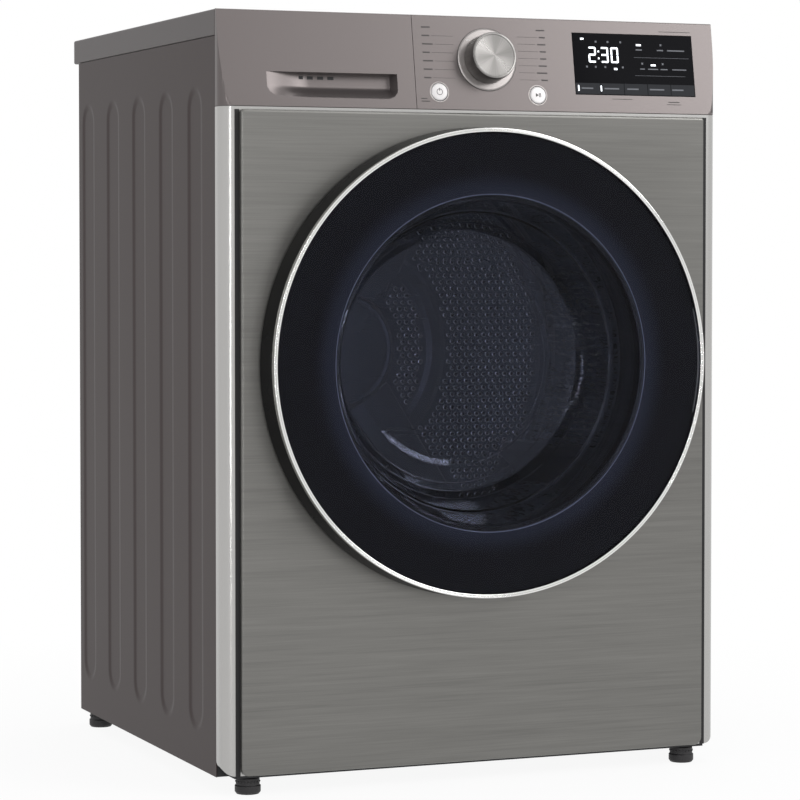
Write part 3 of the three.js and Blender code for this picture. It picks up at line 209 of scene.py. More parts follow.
# %% Group helpers
def new_group(name, inputs, outputs):
    group = bpy.data.node_groups.new(name, "ShaderNodeTree")
    for label, value in inputs:
        socket = group.interface.new_socket(label, in_out="INPUT", socket_type="NodeSocketFloat")
        socket.default_value = value
    for label in outputs:
        group.interface.new_socket(label, in_out="OUTPUT", socket_type="NodeSocketFloat")
    start = group.nodes.new("NodeGroupInput")
    end = group.nodes.new("NodeGroupOutput")
    return group, start, end


def object_coordinates(tree, scale=(1, 1, 1)):
    source = put(tree, "ShaderNodeTexCoord")
    mapping = put(tree, "ShaderNodeMapping")
    mapping.inputs["Scale"].default_value = scale
    tree.links.new(source.outputs["Object"], mapping.inputs["Vector"])
    return mapping.outputs["Vector"]


def noise(tree, vector, scale, detail=2.0, rough=0.5):
    node = put(tree, "ShaderNodeTexNoise")
    node.inputs["Scale"].default_value = scale
    node.inputs["Detail"].default_value = detail
    node.inputs["Roughness"].default_value = rough
    tree.links.new(vector, node.inputs["Vector"])
    return node.outputs["Fac"]


# %% Brushed grain: long fine scratches along X, with broad soft bands
def brushed_group():
    group, start, end = new_group("brushed_grain", [("Fine Weight", 0.55)], ["Streaks", "Bands"])
    fine = noise(group, object_coordinates(group, (12, 60, 760)), 1.0, 3.0, 0.6)
    coarse = noise(group, object_coordinates(group, (6, 20, 240)), 1.0, 2.0)
    bands = noise(group, object_coordinates(group, (1.3, 3, 26)), 1.0, 3.0)
    share = math_node(group, "MULTIPLY", fine, start.outputs["Fine Weight"])
    rest = math_node(group, "SUBTRACT", 1.0, start.outputs["Fine Weight"])
    other = math_node(group, "MULTIPLY", coarse, rest)
    group.links.new(math_node(group, "ADD", share, other), end.inputs["Streaks"])
    group.links.new(bands, end.inputs["Bands"])
    return group


# %% Paint: orange peel and metal flake
def paint_group():
    group, start, end = new_group("metallic_paint", [("Peel Scale", 420.0), ("Flake Scale", 5200.0)],
                                  ["Peel", "Flake", "Cloud"])
    for label, output in (("Peel Scale", "Peel"), ("Flake Scale", "Flake")):
        node = put(group, "ShaderNodeTexNoise")
        node.inputs["Detail"].default_value = 1.0
        group.links.new(object_coordinates(group), node.inputs["Vector"])
        group.links.new(start.outputs[label], node.inputs["Scale"])
        group.links.new(node.outputs["Fac"], end.inputs[output])
    group.links.new(noise(group, object_coordinates(group), 3.0, 2.0), end.inputs["Cloud"])
    return group


# %% Moulded plastic: the fine spark-eroded texture of a tool
def moulded_group():
    group, start, end = new_group("moulded_texture", [("Scale", 1500.0)], ["Grain", "Cloud"])
    node = put(group, "ShaderNodeTexVoronoi", feature="SMOOTH_F1")
    group.links.new(object_coordinates(group), node.inputs["Vector"])
    group.links.new(start.outputs["Scale"], node.inputs["Scale"])
    group.links.new(node.outputs["Distance"], end.inputs["Grain"])
    group.links.new(noise(group, object_coordinates(group), 9.0, 3.0), end.inputs["Cloud"])
    return group


GROUPS = {"brushed": brushed_group(), "paint": paint_group(), "moulded": moulded_group()}
print("effects:", list(GROUPS))

# %% [markdown]
# ## Materials
# `new_material` sets the constants on the shader's own sockets. `shade` then lets a pattern swing the
# colour and the roughness a little about those constants, and `bump` turns a height into a normal.

# %% Material helpers
def srgb(red, green, blue):
    """A screen colour from 0 to 255 as linear values."""
    def linear(value):
        value /= 255
        return value / 12.92 if value <= 0.04045 else ((value + 0.055) / 1.055) ** 2.4
    return (linear(red), linear(green), linear(blue))


def new_material(name, colour, roughness, metallic=0.0, **sockets):
    material = bpy.data.materials.new(name)
    material.use_nodes = True
    shader = material.node_tree.nodes["Principled BSDF"]
    shader.inputs["Base Color"].default_value = (*colour, 1)
    shader.inputs["Roughness"].default_value = roughness
    shader.inputs["Metallic"].default_value = metallic
    for label, value in sockets.items():
        shader.inputs[label.replace("_", " ")].default_value = value
    return material


def place_group(material, key, **values):
    node = put(material.node_tree, "ShaderNodeGroup", node_tree=GROUPS[key])
    for label, value in values.items():
        node.inputs[label.replace("_", " ")].default_value = value
    return node.outputs


def shade(material, mask, colour_low, colour_high, rough_low=None, rough_high=None):
    tree = material.node_tree
    shader = tree.nodes["Principled BSDF"]
    ramp = put(tree, "ShaderNodeMix", data_type="RGBA")
    ramp.inputs["A"].default_value = (*colour_low, 1)
    ramp.inputs["B"].default_value = (*colour_high, 1)
    tree.links.new(mask, ramp.inputs["Factor"])
    tree.links.new(ramp.outputs["Result"], shader.inputs["Base Color"])
    if rough_low is not None:
        spread = put(tree, "ShaderNodeMapRange")
        spread.inputs["To Min"].default_value = rough_low
        spread.inputs["To Max"].default_value = rough_high
        tree.links.new(mask, spread.inputs["Value"])
        tree.links.new(spread.outputs["Result"], shader.inputs["Roughness"])


def bump(material, height, strength, distance):
    tree = material.node_tree
    shader = tree.nodes["Principled BSDF"]
    node = put(tree, "ShaderNodeBump")
    node.inputs["Strength"].default_value = strength
    node.inputs["Distance"].default_value = distance
    tree.links.new(height, node.inputs["Height"])
    tree.links.new(node.outputs["Normal"], shader.inputs["Normal"])


def scaled(colour, factor):
    return tuple(channel * factor for channel in colour)


# %% Steel, paint and plastic
def brushed_steel(name, colour, roughness, contrast=0.12):
    material = new_material(name, colour, roughness, 0.92, Anisotropic=0.5)
    outputs = place_group(material, "brushed")
    tree = material.node_tree
    blend = math_node(tree, "ADD", math_node(tree, "MULTIPLY", outputs["Streaks"], 0.78),
                      math_node(tree, "MULTIPLY", outputs["Bands"], 0.22))
    wide = put(tree, "ShaderNodeMapRange")
    wide.inputs["From Min"].default_value = 0.3
    wide.inputs["From Max"].default_value = 0.7
    tree.links.new(blend, wide.inputs["Value"])
    shade(material, wide.outputs["Result"], scaled(colour, 1 - contrast), scaled(colour, 1 + contrast),
          roughness + 0.05, roughness - 0.05)
    bump(material, outputs["Streaks"], 0.10, 0.0002)
    return material


def metallic_paint(name, colour, roughness=0.42, metallic=0.3, peel=0.05, gloss=0.2):
    material = new_material(name, colour, roughness, metallic, Specular_IOR_Level=gloss)
    outputs = place_group(material, "paint")
    tree = material.node_tree
    mask = math_node(tree, "ADD", math_node(tree, "MULTIPLY", outputs["Flake"], 0.6),
                     math_node(tree, "MULTIPLY", outputs["Cloud"], 0.4))
    shade(material, mask, scaled(colour, 0.93), scaled(colour, 1.07), roughness - 0.03, roughness + 0.05)
    bump(material, outputs["Peel"], peel, 0.0003)
    return material


def plastic(name, colour, roughness, grain=0.12, scale=1500.0, **sockets):
    material = new_material(name, colour, roughness, **sockets)
    outputs = place_group(material, "moulded", Scale=scale)
    shade(material, outputs["Cloud"], scaled(colour, 0.94), scaled(colour, 1.06),
          max(roughness - 0.05, 0.02), roughness + 0.05)
    bump(material, outputs["Grain"], grain, 0.0002)
    return material


FACE_STEEL = brushed_steel("face_brushed_steel", srgb(118, 117, 114), 0.36, 0.17)
DRUM_STEEL = brushed_steel("drum_stainless", srgb(150, 154, 160), 0.28, 0.06)
# The rear wall takes a darker copy of the drum's stainless steel: painted shade for the dim back of the drum.
SHADED_WALL_STEEL = brushed_steel("rear_wall_stainless_painted_shade", srgb(84, 87, 94), 0.30, 0.06)
ZINC = metallic_paint("zinc_sheet", srgb(150, 152, 154), 0.38, 0.8)
EDGE_STEEL = metallic_paint("bright_frame_edge", srgb(176, 175, 173), 0.24, 0.95, 0.02)
SIDE_PAINT = metallic_paint("side_grey_paint", srgb(62, 52, 51), 0.42, 0.15, 0.05, 0.12)
TOP_PAINT = metallic_paint("worktop_grey_paint", srgb(88, 83, 82))
FASCIA_PAINT = metallic_paint("fascia_silver_paint", srgb(107, 101, 100), 0.34, 0.6)
CHROME = plastic("polished_chrome", srgb(222, 222, 220), 0.08, 0.02, Metallic=1.0)
BLACK_GLOSS = plastic("black_gloss_plastic", srgb(14, 14, 15), 0.28, 0.03, Specular_IOR_Level=0.12)
BLACK_PLASTIC = plastic("black_tub_plastic", srgb(30, 30, 32), 0.6)
GREY_PLASTIC = plastic("grey_moulded_plastic", srgb(118, 119, 122), 0.5)
DARK_GREY_PLASTIC = plastic("charcoal_moulded_plastic", srgb(58, 60, 66), 0.45)
WHITE_PLASTIC = plastic("milky_plastic", srgb(206, 207, 203), 0.45, Subsurface_Weight=0.1)
RUBBER = plastic("black_rubber", srgb(22, 21, 22), 0.75, 0.2, 900.0)
SEAL_RUBBER = plastic("grey_seal_rubber", srgb(52, 53, 56), 0.7, 0.25, 1100.0)
ENAMEL = plastic("black_enamel", srgb(26, 27, 30), 0.35, 0.08, 500.0)
CAST = plastic("motor_iron_paint", srgb(70, 73, 78), 0.5, 0.3, 700.0)
FIN_METAL = brushed_steel("aluminium_fins", srgb(176, 180, 184), 0.35, 0.15)
COPPER = plastic("copper_tube", srgb(184, 112, 72), 0.3, 0.06, 600.0, Metallic=1.0)
BOARD_GREEN = plastic("solder_mask", srgb(28, 92, 56), 0.35, 0.1, 2500.0)
LAMP_LENS = plastic("frosted_lens", srgb(236, 232, 220), 0.5, 0.1, 800.0)
print("materials:", len(bpy.data.materials))

# %% [markdown]
# ## Mesh helpers
# Round pieces are turned from a profile, flat panels are filled outlines with a rounded edge, and
# blocks are bevelled boxes. Each helper returns an object at the origin whose mesh is already in place.
# `dress` gives a piece its finish and its body, and hides the CAD nodes that it stands for.

# %% From mesh data to a dressed piece
def mesh_object(name, bm, smooth_angle=35):
    bmesh.ops.remove_doubles(bm, verts=bm.verts, dist=1e-6)
    bmesh.ops.recalc_face_normals(bm, faces=bm.faces)
    mesh = bpy.data.meshes.new(name)
    bm.to_mesh(mesh)
    bm.free()
    mesh.shade_smooth()
    mesh.set_sharp_from_angle(angle=math.radians(smooth_angle))
    piece = bpy.data.objects.new(name, mesh)
    scene.collection.objects.link(piece)
    return piece


def dress(piece, material, body, *replaced, slot=None):
    if material is not None:
        piece.data.materials.clear()
        piece.data.materials.append(material)
    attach(piece, body)
    if replaced:
        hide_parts(*replaced)


def apply_modifiers(piece, smooth_angle=35):
    """Turns the evaluated piece into a plain mesh and drops its modifiers."""
    graph = bpy.context.evaluated_depsgraph_get()
    made = bpy.data.meshes.new_from_object(piece.evaluated_get(graph))
    piece.modifiers.clear()
    piece.data = made
    if smooth_angle:
        made.shade_smooth()
        made.set_sharp_from_angle(angle=math.radians(smooth_angle))
    return piece


def level_shading(piece):
    """Lets each large flat face keep its own normal, so that only the small rounded edges shade round."""
    apply_modifiers(piece)
    weighted = piece.modifiers.new("normals", "WEIGHTED_NORMAL")
    weighted.weight = 100
    weighted.keep_sharp = True
    return apply_modifiers(piece, None)


# %% Turned pieces
def turned_mesh(profile, centre, axis="Y", steps=128):
    """A bmesh of the closed profile [(radius, place along the axis), ...] spun about an axis."""
    bm = bmesh.new()
    rings = []
    for radius, along in profile:
        ring = []
        count = 1 if radius < 1e-7 else steps
        for step in range(count):
            turn = 2 * math.pi * step / steps
            across, up = radius * math.cos(turn), radius * math.sin(turn)
            place = (across, along, up) if axis == "Y" else (across, up, along)
            ring.append(bm.verts.new(Vector(centre) + Vector(place)))
        rings.append(ring)
    for one, two in zip(rings, rings[1:] + rings[:1]):
        if len(one) == 1 and len(two) == 1:
            continue
        for step in range(steps):
            following = (step + 1) % steps
            corners = [one[step % len(one)], one[following % len(one)],
                       two[following % len(two)], two[step % len(two)]]
            unique = list(dict.fromkeys(corners))
            if len(unique) > 2:
                bm.faces.new(unique)
    return bm


def turned(name, profile, centre=DOOR_AXIS, axis="Y", steps=180):
    points = [(radius * MM, along * MM) for radius, along in profile]
    return mesh_object(name, turned_mesh(points, centre, axis, steps))


def rounded_profile(corners, radius, steps=4, axis_at=0.0):
    """Rounds a closed profile. A corner may carry its own radius, and one on the axis stays sharp."""
    rounded = []
    count = len(corners)
    for index, corner in enumerate(corners):
        here = Vector(corner[:2])
        before = Vector(corners[index - 1][:2])
        after = Vector(corners[(index + 1) % count][:2])
        size = corner[2] if len(corner) > 2 else radius
        one, two = before - here, after - here
        if size <= 0 or here.x < axis_at + 1e-6 or one.length < 1e-6 or two.length < 1e-6:
            rounded.append(tuple(here))
            continue
        half = one.angle(two) / 2
        reach = min(size / math.tan(half), one.length * 0.49, two.length * 0.49)
        start, end = here + one.normalized() * reach, here + two.normalized() * reach
        for step in range(steps + 1):
            share = step / steps
            point = start * (1 - share) ** 2 + here * 2 * share * (1 - share) + end * share ** 2
            rounded.append(tuple(point))
    return rounded


# %% Panels with holes
def outline_rectangle(x0, x1, z0, z1, radii, steps=10):
    """Corner points of a rounded rectangle; radii run from bottom left, anticlockwise."""
    corners = [(x0, z0, 1, 1, 180), (x1, z0, -1, 1, 270), (x1, z1, -1, -1, 0), (x0, z1, 1, -1, 90)]
    points = []
    for (x, z, inward_x, inward_z, start), radius in zip(corners, radii):
        for step in range(steps + 1):
            turn = math.radians(start + 90 * step / steps)
            points.append((x + inward_x * radius + radius * math.cos(turn),
                           z + inward_z * radius + radius * math.sin(turn)))
    return points


def outline_circle(x, z, radius, steps=160):
    return [(x + radius * math.cos(2 * math.pi * k / steps), z + radius * math.sin(2 * math.pi * k / steps))
            for k in range(steps)]


def panel(name, outlines, y0, y1, edge=0.0, matrix=FRONT, edge_steps=3):
    """A flat piece between y0 and y1, filled between outlines in X and Z, with a rounded edge."""
    data = bpy.data.curves.new(name, "CURVE")
    data.dimensions = "2D"
    data.fill_mode = "BOTH"
    data.extrude = ((y1 - y0) / 2 - edge) * MM
    data.bevel_depth = edge * MM
    data.bevel_resolution = edge_steps
    data.offset = -edge * MM
    for outline in outlines:
        spline = data.splines.new("POLY")
        spline.points.add(len(outline) - 1)
        for point, (x, z) in zip(spline.points, outline):
            point.co = (x * MM, z * MM, 0, 1)
        spline.use_cyclic_u = True
    curve = bpy.data.objects.new(name, data)
    scene.collection.objects.link(curve)
    graph = bpy.context.evaluated_depsgraph_get()
    mesh = bpy.data.meshes.new_from_object(curve.evaluated_get(graph))
    bpy.data.objects.remove(curve)
    stand = Matrix.Translation((0, (y0 + y1) / 2 * MM, 0)) @ Matrix.Rotation(math.radians(90), 4, "X")
    mesh.transform(matrix @ stand)
    bm = bmesh.new()
    bm.from_mesh(mesh)
    bpy.data.meshes.remove(mesh)
    return mesh_object(name, bm)


# %% Blocks
def block(name, low, high, edge=0.0, steps=2, matrix=FRONT):
    """A box between two corners, with rounded edges where edge is more than nought."""
    bm = bmesh.new()
    bmesh.ops.create_cube(bm, size=1.0)
    low, high = Vector(low) * MM, Vector(high) * MM
    for vert in bm.verts:
        vert.co = Vector(((low[i] + high[i]) / 2 + vert.co[i] * (high[i] - low[i]) for i in range(3)))
    if edge:
        bmesh.ops.bevel(bm, geom=bm.edges[:], offset=edge * MM, segments=steps, affect="EDGES", profile=0.5)
    bmesh.ops.transform(bm, matrix=matrix, verts=bm.verts)
    made = mesh_object(name, bm)
    return level_shading(made) if edge else made


def join_pieces(name, pieces):
    bm = bmesh.new()
    for piece in pieces:
        bm.from_mesh(piece.data)
        bpy.data.objects.remove(piece)
    mesh = bpy.data.meshes.new(name)
    bm.to_mesh(mesh)
    bm.free()
    mesh.shade_smooth()
    mesh.set_sharp_from_angle(angle=math.radians(35))
    joined = bpy.data.objects.new(name, mesh)
    scene.collection.objects.link(joined)
    return joined


def boolean(piece, cutters, operation="DIFFERENCE"):
    for cutter in cutters:
        modifier = piece.modifiers.new("cut", "BOOLEAN")
        modifier.operation = operation
        modifier.solver = "EXACT"
        modifier.object = cutter
        apply_modifiers(piece)
        bpy.data.objects.remove(cutter)
    return piece


def soften(piece, width, segments=2, angle=40):
    bevel = piece.modifiers.new("edge", "BEVEL")
    bevel.width = width * MM
    bevel.segments = segments
    bevel.limit_method = "ANGLE"
    bevel.angle_limit = math.radians(angle)
    bevel.use_clamp_overlap = True
    return level_shading(piece)


# %% Sheets with a pressed or hollowed shape
def ease(share):
    """A soft step from 0 to 1."""
    share = min(max(share, 0), 1)
    return share * share * (3 - 2 * share)


def double_skin(name, rows, columns, outer, inner, smooth_angle=35):
    """A closed sheet between two grids; outer and inner give the place for a row and a column."""
    bm = bmesh.new()
    skins = [[[bm.verts.new(place(row, column)) for column in columns] for row in rows]
             for place in (outer, inner)]
    last_row, last_column = len(rows) - 1, len(columns) - 1
    for skin in skins:
        for i in range(last_row):
            for k in range(last_column):
                bm.faces.new((skin[i][k], skin[i + 1][k], skin[i + 1][k + 1], skin[i][k + 1]))
    rim = [(i, 0) for i in range(last_row)] + [(last_row, k) for k in range(last_column)]
    rim += [(i, last_column) for i in range(last_row, 0, -1)] + [(0, k) for k in range(last_column, 0, -1)]
    for (i, k), (m, n) in zip(rim, rim[1:] + rim[:1]):
        bm.faces.new((skins[0][i][k], skins[0][m][n], skins[1][m][n], skins[1][i][k]))
    return mesh_object(name, bm, smooth_angle)


print("mesh helpers ready")

# %% [markdown]
# ## Side panels
# Each side is one steel sheet with five shallow upright beads that stop it from drumming. A bead is a
# smooth dip with round ends. We lay a grid whose lines crowd at the beads and push it in by a formula,
# so that the shading stays soft without many faces.

# %% Side panels
BEAD_RADIUS, BEAD_DEPTH, BEAD_SHOULDER = 26, 1.3, 9.0
BEAD_FIRST, BEAD_LAST, BEAD_COUNT = 90, 503, 5
BEAD_TOP, BEAD_BOTTOM = 770, 60
SIDE_SHEET = 0.9
side_low, side_high = box_mm("left_side_panel")
bead_rows = [BEAD_FIRST + k * (BEAD_LAST - BEAD_FIRST) / (BEAD_COUNT - 1) for k in range(BEAD_COUNT)]
bead_ends = (BEAD_TOP - BEAD_RADIUS, BEAD_BOTTOM + BEAD_RADIUS)


def bead_depth(y, z):
    """How far the sheet is pushed in at (y, z), in millimetres."""
    nearest = min(abs(y - row) for row in bead_rows)
    past = max(z - bead_ends[0], bead_ends[1] - z, 0)
    return BEAD_DEPTH * ease((BEAD_RADIUS - math.hypot(nearest, past)) / BEAD_SHOULDER)


def crowd(low, high, places, steps, spread=28):
    """Grid lines from low to high, close together within spread of each place."""
    lines = {low, high}
    for place in places:
        for k in range(-steps, steps + 1):
            lines.add(place + spread * k / steps)
    return sorted(line for line in lines if low <= line <= high)


def side_panel(name, sign):
    rows = crowd(side_low.y, side_high.y, bead_rows, 14)
    levels = crowd(side_low.z, side_high.z, bead_ends, 16)
    skins = [lambda y, z, inset=inset: at(sign * (half_width - inset - bead_depth(y, z)), y, z)
             for inset in (0, SIDE_SHEET)]
    return double_skin(name, rows, levels, *skins, smooth_angle=40)


dress(side_panel("left_side_sheet", -1), SIDE_PAINT, "cabinet", "left_side_panel", slot="side_paint")
dress(side_panel("right_side_sheet", 1), SIDE_PAINT, "cabinet", "right_side_panel", slot="side_paint")
print("beads at y =", [round(row, 1) for row in bead_rows])

# %% [markdown]
# ## Worktop
# The worktop is a board in the colour of the sides with a small radius all round, standing a little
# proud at the back. A bevelled block with a pocket cut in from below leaves its skin and its rim.

# %% Worktop
worktop_low, worktop_high = box_mm("worktop")
worktop = block("worktop_board", worktop_low, worktop_high, edge=2.2, steps=4)
boolean(worktop, [block("pocket", (-285, 0, top - 40), (285, 530, top - 8))])
dress(worktop, TOP_PAINT, "cabinet", "worktop", slot="worktop_paint")
print("worktop", [round(v, 1) for v in worktop_high - worktop_low])

# %% [markdown]
# ## Front frame
# The front of the cabinet is a steel frame that turns the corner with a generous radius. Only its two
# corner columns and a thin line under the face plate show. We sweep the plan of the corner upwards and
# clip the bottom corners round with a rounded outline.

# %% Front frame
CORNER, FRAME_SHEET, OPENING_RADIUS = 15, 1.0, 200
LATCH_SLOT = ((-232, -10, door_z - 12), (-220, 8, door_z + 12))


def corner_plan(back, steps=12):
    """The U-shaped plan of the front sheet as a closed loop of (x, y), in millimetres."""
    def skin(inset):
        radius = CORNER - inset
        turns = [math.radians(90 * k / steps) for k in range(steps + 1)]
        arc = [(CORNER - half_width - radius * math.cos(turn), CORNER - radius * math.sin(turn))
               for turn in turns]
        left = [(inset - half_width, back)] + arc
        return left + [(-x, y) for x, y in reversed(left)]
    return skin(0) + list(reversed(skin(FRAME_SHEET)))


def swept_up(name, plan, z0, z1):
    bm = bmesh.new()
    low, high = [[bm.verts.new(at(x, y, z)) for x, y in plan] for z in (z0, z1)]
    for k in range(len(plan)):
        following = (k + 1) % len(plan)
        bm.faces.new((low[k], low[following], high[following], high[k]))
    bm.faces.new(low)
    bm.faces.new(list(reversed(high)))
    return mesh_object(name, bm)


front_frame = swept_up("front_frame_sheet", corner_plan(frame_high.y), frame_low.z, base)
clip = panel("clip", [outline_rectangle(-half_width, half_width, frame_low.z, base,
                                        (CORNER, CORNER, 0.4, 0.4))], -2, 40)
boolean(front_frame, [clip], "INTERSECT")
hole = turned("hole", [(0, -5), (OPENING_RADIUS, -5), (OPENING_RADIUS, 5), (0, 5)], steps=128)
boolean(front_frame, [hole, block("latch_slot", *LATCH_SLOT)])
dress(front_frame, EDGE_STEEL, "cabinet", "front_frame", slot="frame_metal")
print("front frame faces:", len(front_frame.data.polygons))

# %% [markdown]
# ## Brushed face plate
# The face plate is a shallow pan of brushed steel, hooked on the frame with a dark groove each side.
# A filled 2D outline with a bevelled edge gives the soft bright rim and the round door opening in one go.

# %% Face plate
GROOVE_WIDTH = 5.5
plate_low, plate_high = box_mm("front_face_plate")
plate = panel("brushed_face_plate",
              [outline_rectangle(plate_low.x, plate_high.x, plate_low.z, plate_high.z, (9, 9, 4, 4)),
               outline_circle(0, door_z, OPENING_RADIUS + 3)],
              plate_low.y, -0.4, edge=2.6, edge_steps=5)
boolean(plate, [block("latch_slot", *LATCH_SLOT)])
dress(plate, FACE_STEEL, "cabinet", "front_face_plate", slot="brushed_plate")
# Thin black strips lie in the grooves beside the plate as painted shadow.
groove_shadows = [block("groove", (x, -0.35, plate_low.z), (x + GROOVE_WIDTH, -0.02, plate_high.z))
           for x in (plate_low.x - GROOVE_WIDTH, plate_high.x)]
dress(join_pieces("shadow_gaskets", groove_shadows), RUBBER, "cabinet", slot="rubber")
print("face plate", [round(v, 1) for v in plate_high - plate_low])

# %% [markdown]
# ## Fascia
# The control panel and the tank front share one leaning face. We fill the profile of the fascia, clip it
# to the plan of the front corners, and cut the recesses in the fascia's own frame: X across, Y into the
# panel and Z up the face. `FASCIA` takes such a place to the world.

# %% Fascia blanks
FASCIA_LEAN, FASCIA_RISE, SEAM, SEAM_HALF_GAP = 17.6, 105.0, 21.0, 0.3
lean = math.atan2(FASCIA_LEAN, FASCIA_RISE)
FASCIA = FRONT @ Matrix.Translation((0, 0, base * MM)) @ Matrix.Rotation(-lean, 4, "X")
split_x = box_mm("control_panel")[0].x - SEAM_HALF_GAP


def fascia_profile(inset=0.0):
    """The upright section of the fascia as (y, z). Without an inset its corners are rounded."""
    low, high, back = base + 0.4 + inset, top - 0.1 - inset, SEAM - 0.5 + (2 if inset else 0)
    face_low, face_high = ((z - base) * math.tan(lean) + inset for z in (low, high))
    corners = [(face_low, low, 0.5), (back, low, 0.2), (back, high, 0.2), (face_high, high, 2.6)]
    if inset:
        return [corner[:2] for corner in corners]
    return rounded_profile(corners, 1, 5, axis_at=-SEAM)


def fascia_blank(name, x0, x1, inset=0.0):
    bm = bmesh.new()
    left, right = [[bm.verts.new(at(x, y, z)) for y, z in fascia_profile(inset)] for x in (x0, x1)]
    for k in range(len(left)):
        following = (k + 1) % len(left)
        bm.faces.new((left[k], left[following], right[following], right[k]))
    bm.faces.new(left)
    bm.faces.new(list(reversed(right)))
    return mesh_object(name, bm)


def corner_column():
    """The space inside the front's rounded corners, from below the fascia to above the worktop."""
    plan = corner_plan(SEAM + 3)
    return swept_up("corner", plan[:len(plan) // 2], base - 2, top + 2)


def on_face(place):
    return Vector((place["x"], 0, place["up"])) * MM


def hole_at(place, radius, y0=-8, y1=40):
    """A round cutter through the fascia."""
    bm = turned_mesh([(0, y0 * MM), (radius * MM, y0 * MM), (radius * MM, y1 * MM), (0, y1 * MM)],
                     on_face(place), steps=64)
    bmesh.ops.transform(bm, matrix=FASCIA, verts=bm.verts)
    return mesh_object("hole", bm)


# %% Control panel
KNOB = {"x": 14.6, "up": 57.8}
POWER = {"x": -45.2, "up": 20.0}
START = {"x": 74.3, "up": 18.7}
DISPLAY = (122.0, 273.0, 21.0, 91.5)
BUTTON_HOLE = 10.45
control_panel = fascia_blank("control_panel_moulding", split_x + SEAM_HALF_GAP, half_width)
boolean(control_panel, [corner_column()], "INTERSECT")
hollow = fascia_blank("hollow", split_x + 3, half_width - 3.6, 2.5)
x0, x1, low, high = DISPLAY
window = block("window", (x0 - 0.4, -5, low - 0.4), (x1 + 0.4, 2.3, high + 0.4), matrix=FASCIA)
behind = block("behind", (x0 + 30, 0, low + 20), (x1 - 30, 20, high - 20), matrix=FASCIA)
boolean(control_panel, [hollow, window, behind])
boolean(control_panel, [hole_at(KNOB, 7), hole_at(POWER, BUTTON_HOLE), hole_at(START, BUTTON_HOLE)])
soften(control_panel, 0.35, 2, 50)
dress(control_panel, FASCIA_PAINT, "cabinet", "control_panel", slot="fascia_paint")
print("control panel faces:", len(control_panel.data.polygons))

# %% [markdown]
# ## Tank front with its finger recess
# The recess starts at nothing on the left and grows deep towards the right, under a sharp lip. A height
# field of its depth, closed into a solid, is the cutter.

# %% Tank front
PULL_LEFT, PULL_RIGHT, PULL_LOW, PULL_HIGH, PULL_DEPTH = -255, -94, 9, 39, 12.5
PULL_CORNER, PULL_START = 13, 0.6
PULL_GROW, PULL_RISE, PULL_EDGE, SHALLOWEST = 62, 17, 5.0, 0.12


def pull_depth(x, up):
    """Depth of the recess at a place on the face, with a round lower right corner."""
    grow = ease((x - PULL_LEFT) / PULL_GROW)
    past_x = max(x - (PULL_RIGHT - PULL_CORNER), 0)
    past_up = max((PULL_LOW + PULL_CORNER) - up, 0)
    corner = PULL_CORNER - math.hypot(past_x, past_up)
    right = ease(min(PULL_RIGHT - x, corner) / PULL_EDGE)
    floor_rise = ease((up - PULL_LOW) / PULL_RISE)
    share = grow * right * (SHALLOWEST + (1 - SHALLOWEST) * floor_rise)
    return (PULL_DEPTH + PULL_START) * share - PULL_START


def recess_cutter(steps_across=70, steps_up=22):
    across = [PULL_LEFT + (PULL_RIGHT - PULL_LEFT) * i / steps_across for i in range(steps_across + 1)]
    ups = [PULL_LOW + (PULL_HIGH - PULL_LOW) * k / steps_up for k in range(steps_up + 1)]
    return double_skin("recess", across, ups, lambda x, up: FASCIA @ (Vector((x, -4, up)) * MM),
                       lambda x, up: FASCIA @ (Vector((x, pull_depth(x, up), up)) * MM))


tank_front = fascia_blank("tank_front_moulding", -half_width, split_x - SEAM_HALF_GAP)
boolean(tank_front, [corner_column()], "INTERSECT")
boolean(tank_front, [recess_cutter()])
soften(tank_front, 0.35, 2, 50)
dress(tank_front, FASCIA_PAINT, "tank_drawer", "tank_front", slot="fascia_paint")
# Thin black patches on the recess floor stand for the four slots: painted shade where the openings are.
SLOT_UP = 35
drain_slots = [block("slot", (x - 3.4, pull_depth(x, SLOT_UP) - 0.3, 33.6),
                     (x + 3.4, pull_depth(x, SLOT_UP) + 0.3, 37.0), matrix=FASCIA)
               for x in (-204, -192, -180, -168)]
dress(join_pieces("drain_slots", drain_slots), BLACK_PLASTIC, "tank_drawer", slot="black_plastic")
print("tank front faces:", len(tank_front.data.polygons))

# %% [markdown]
# ## Knob, bezel and buttons
# The knob is turned in the fascia's frame. Its cap has the look of metal finished on a lathe: fine rings
# follow the radius, and a painted highlight swings the colour with the angle about the knob's axis.

# %% Spun metal with a painted glint
RING_WAVES, SPOKE_SCALE = 14000.0, 14.0  # fine rings, in radians for each metre, and spokes round the turn


